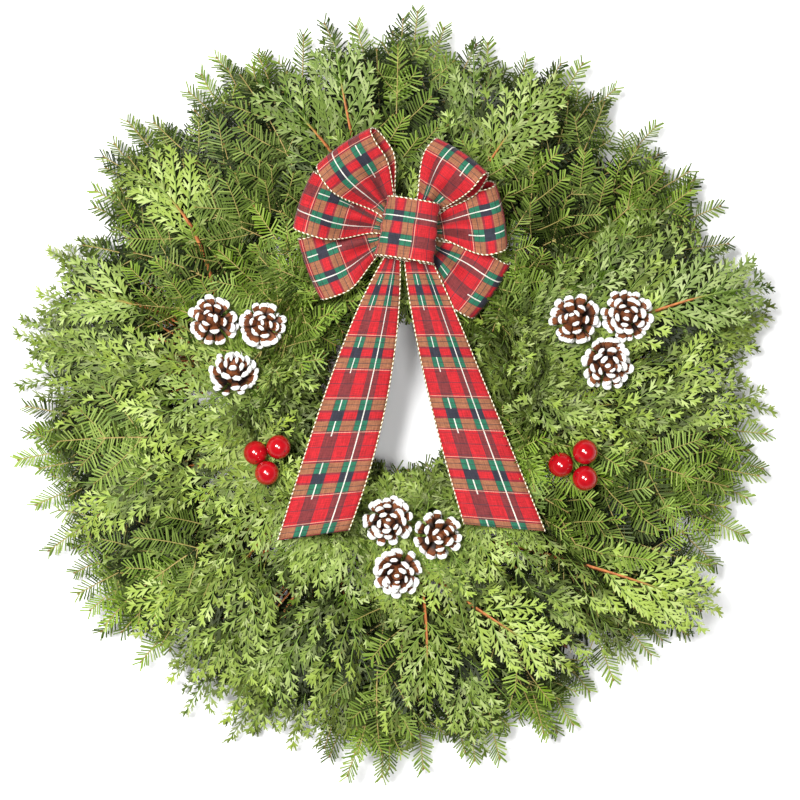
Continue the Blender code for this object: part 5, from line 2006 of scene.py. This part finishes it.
            self.grow_cedar(bones, line, frames, bare, luck, woody)
        bones.settle(self.clear)
        return bones

    def build(self, finishes: dict[str, Material]) -> None:
        """Args:
            finishes: materials by the names needle, fir_bark, bud, cedar and cedar_bark.
        """
        needle, frond, bud = self.needle_shape(), self.frond_shape(), self.bud_shape()
        trees = {
            Habit.FIR: LeafTree("fir_needles").build(),
            Habit.CEDAR: LeafTree("cedar_branchlets", even=True).build(),
        }
        values = {
            Habit.FIR: {
                "Leaf Pitch": self.fir_pitch, "Leaf Width": self.fir_width, "Rise Low": -0.06,
                "Rise High": 0.24, "Stem Pitch": self.stem_pitch, "Leaf Finish": finishes["needle"],
                "Bark Finish": finishes["fir_bark"], "Leaf Shape": needle, "Tip Shape": bud,
                "Tip Size": 0.36, "Tip Finish": finishes["bud"],
            },
            Habit.CEDAR: {
                "Leaf Pitch": self.cedar_pitch, "Leaf Width": 1.0, "Rise Low": -0.04,
                "Rise High": 0.16, "Stem Pitch": self.stem_pitch, "Leaf Finish": finishes["cedar"],
                "Bark Finish": finishes["cedar_bark"], "Leaf Shape": frond, "Tip Shape": frond,
                "Tip Size": 1.15, "Tip Finish": finishes["cedar"],
            },
        }
        counts = {Habit.FIR: 0, Habit.CEDAR: 0}
        bunches = []
        canopy = Canopy()
        for upper, kinds in ((False, self.lower_kinds), (True, self.upper_kinds)):
            for i, letter in enumerate(kinds):
                habit = Habit.FIR if letter == "F" else Habit.CEDAR
                counts[habit] += 1
                angle = self.first_angle + (i + 0.5 * upper) * 360.0 / self.per_layer
                seed = SEED + 100 * upper + i
                node = f"{habit.value}_bunch_{counts[habit]:02d}"
                bones = self.bunch(node, habit, angle, upper, random.Random(seed))
                canopy.cover(bones)
                bunches.append((node, habit, seed, bones))
        canopy.widen()
        total = 0
        for node, habit, seed, bones in bunches:
            inputs = {**values[habit], "Seed": seed}
            made = run_nodes(bones.to_object(canopy), trees[habit], inputs, node.replace("bunch", "sprays"))
            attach(made, "root")
            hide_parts(node)
            faces = sum(len(p.vertices) - 2 for p in made.data.polygons)
            total += faces
            LOG.info("%s: %d triangles", made.name, faces)
        for shape in (needle, frond, bud):
            bpy.data.objects.remove(shape, do_unlink=True)
        LOG.info("greens: %d triangles", total)


# Wires and studio


@dataclass
class Wires:
    """Ring, clamps and wires, which keep their solids and get enamelled finishes."""

    def build(self, frame: dict, finishes: dict[str, Material]) -> None:
        """Dress the solids that stay.

        Args:
            frame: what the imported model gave.
            finishes: materials by the names ring and wire.
        """
        for name, solid in frame["nodes"].items():
            if "wire" in name:
                finish = finishes["ring" if name == "wire_ring" else "wire"]
                solid.data.materials.clear()
                solid.data.materials.append(finish)
                LOG.info("%s: %s", name, finish.name)


@dataclass
class Studio:
    """White floor, soft lights and the camera that looks down on the wreath."""

    camera_at: tuple[float, float, float] = (0.005, -0.005, 2.17)
    lens: float = 94.5
    sensor: float = 36.0
    floor_size: float = 24.0
    floor_level: float = -0.0002
    aim: tuple[float, float, float] = (0.0, 0.0, 0.05)
    # name, place, power in watts and size of each square softbox
    lights: tuple = (
        ("key_softbox", (-0.62, 0.34, 2.15), 78.0, 0.6),
        ("fill_softbox", (0.22, -0.34, 2.6), 31.0, 0.7),
    )

    def build(self) -> None:
        """Set up the floor, the lights, the surroundings and the camera."""
        half = self.floor_size / 2
        corners = [(x * half, y * half, self.floor_level) for x, y in ((-1, -1), (1, -1), (1, 1), (-1, 1))]
        floor = mesh_piece("paper_floor", corners, [(0, 1, 2, 3)], PaperFinish("white_paper").build())
        for name, spot, power, size in self.lights:
            lamp = bpy.data.lights.new(name, "AREA")
            lamp.energy = power
            lamp.size = size
            made = new_object(name, lamp)
            made.location = spot
            made.rotation_euler = (Vector(self.aim) - Vector(spot)).to_track_quat("-Z", "Y").to_euler()
        world = bpy.data.worlds.new("studio")
        world.use_nodes = True
        tree = world.node_tree
        add = partial(add_node, tree)
        # Pale walls all round under a dim ceiling.
        way = add("ShaderNodeTexCoord", out="Generated")
        climb = add("ShaderNodeSeparateXYZ", {0: way}, out="Z")
        wall = add(LINE, add("ShaderNodeMath ABSOLUTE", climb), -1.9, 1.0, use_clamp=True)
        strength = add(LINE, add("ShaderNodeMath POWER", wall, 2.0), 0.80, 0.05)
        fill(tree, tree.nodes["Background"], {"Color": (1.0, 1.0, 1.0, 1.0), "Strength": strength})
        scene = bpy.context.scene
        scene.world = world
        scene.view_settings.view_transform = "Standard"
        eye = bpy.data.cameras.new("overhead")
        eye.lens = self.lens
        eye.sensor_width = self.sensor
        scene.camera = new_object("overhead", eye)
        scene.camera.location = self.camera_at


def main() -> None:
    """Load the frame and dress every sub-assembly; the builds log some sizes."""
    logging.basicConfig(level=logging.INFO, format="%(message)s")
    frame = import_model()
    Studio().build()
    bow, cones, berries = Bow(), Cones(), Berries()
    bow.build(PlaidFinish("plaid_polyester_ribbon").build(), CordFinish("gold_edge_cord").build())
    cones.build(ConeFinish("painted_pine_cone").build())
    berries.build(BerryFinish("lacquered_berry").build())
    Greens(bow, cones, berries).build(
        {
            "needle": LeafFinish("fir_needle").build(),
            "fir_bark": BarkFinish("fir_bark", light="#B89C62", dark="#7E6636", fresh="#8E9048").build(),
            "bud": BarkFinish("fir_bud", light="#9A5B36", dark="#5E3420").build(),
            "cedar": LeafFinish(
                "cedar_scale_leaf", deep="#3A5010", bright="#99AD44", tip="#D6DEAA", under="#94AA58"
            ).build(),
            "cedar_bark": BarkFinish("cedar_bark", light="#C47A3C", dark="#8A4A22").build(),
        }
    )
    Wires().build(
        frame,
        {
            "ring": WireFinish("enamelled_ring_steel").build(),
            "wire": WireFinish("enamelled_pick_wire", enamel="#3B5636").build(),
        },
    )


if __name__ == "__main__":
    main()
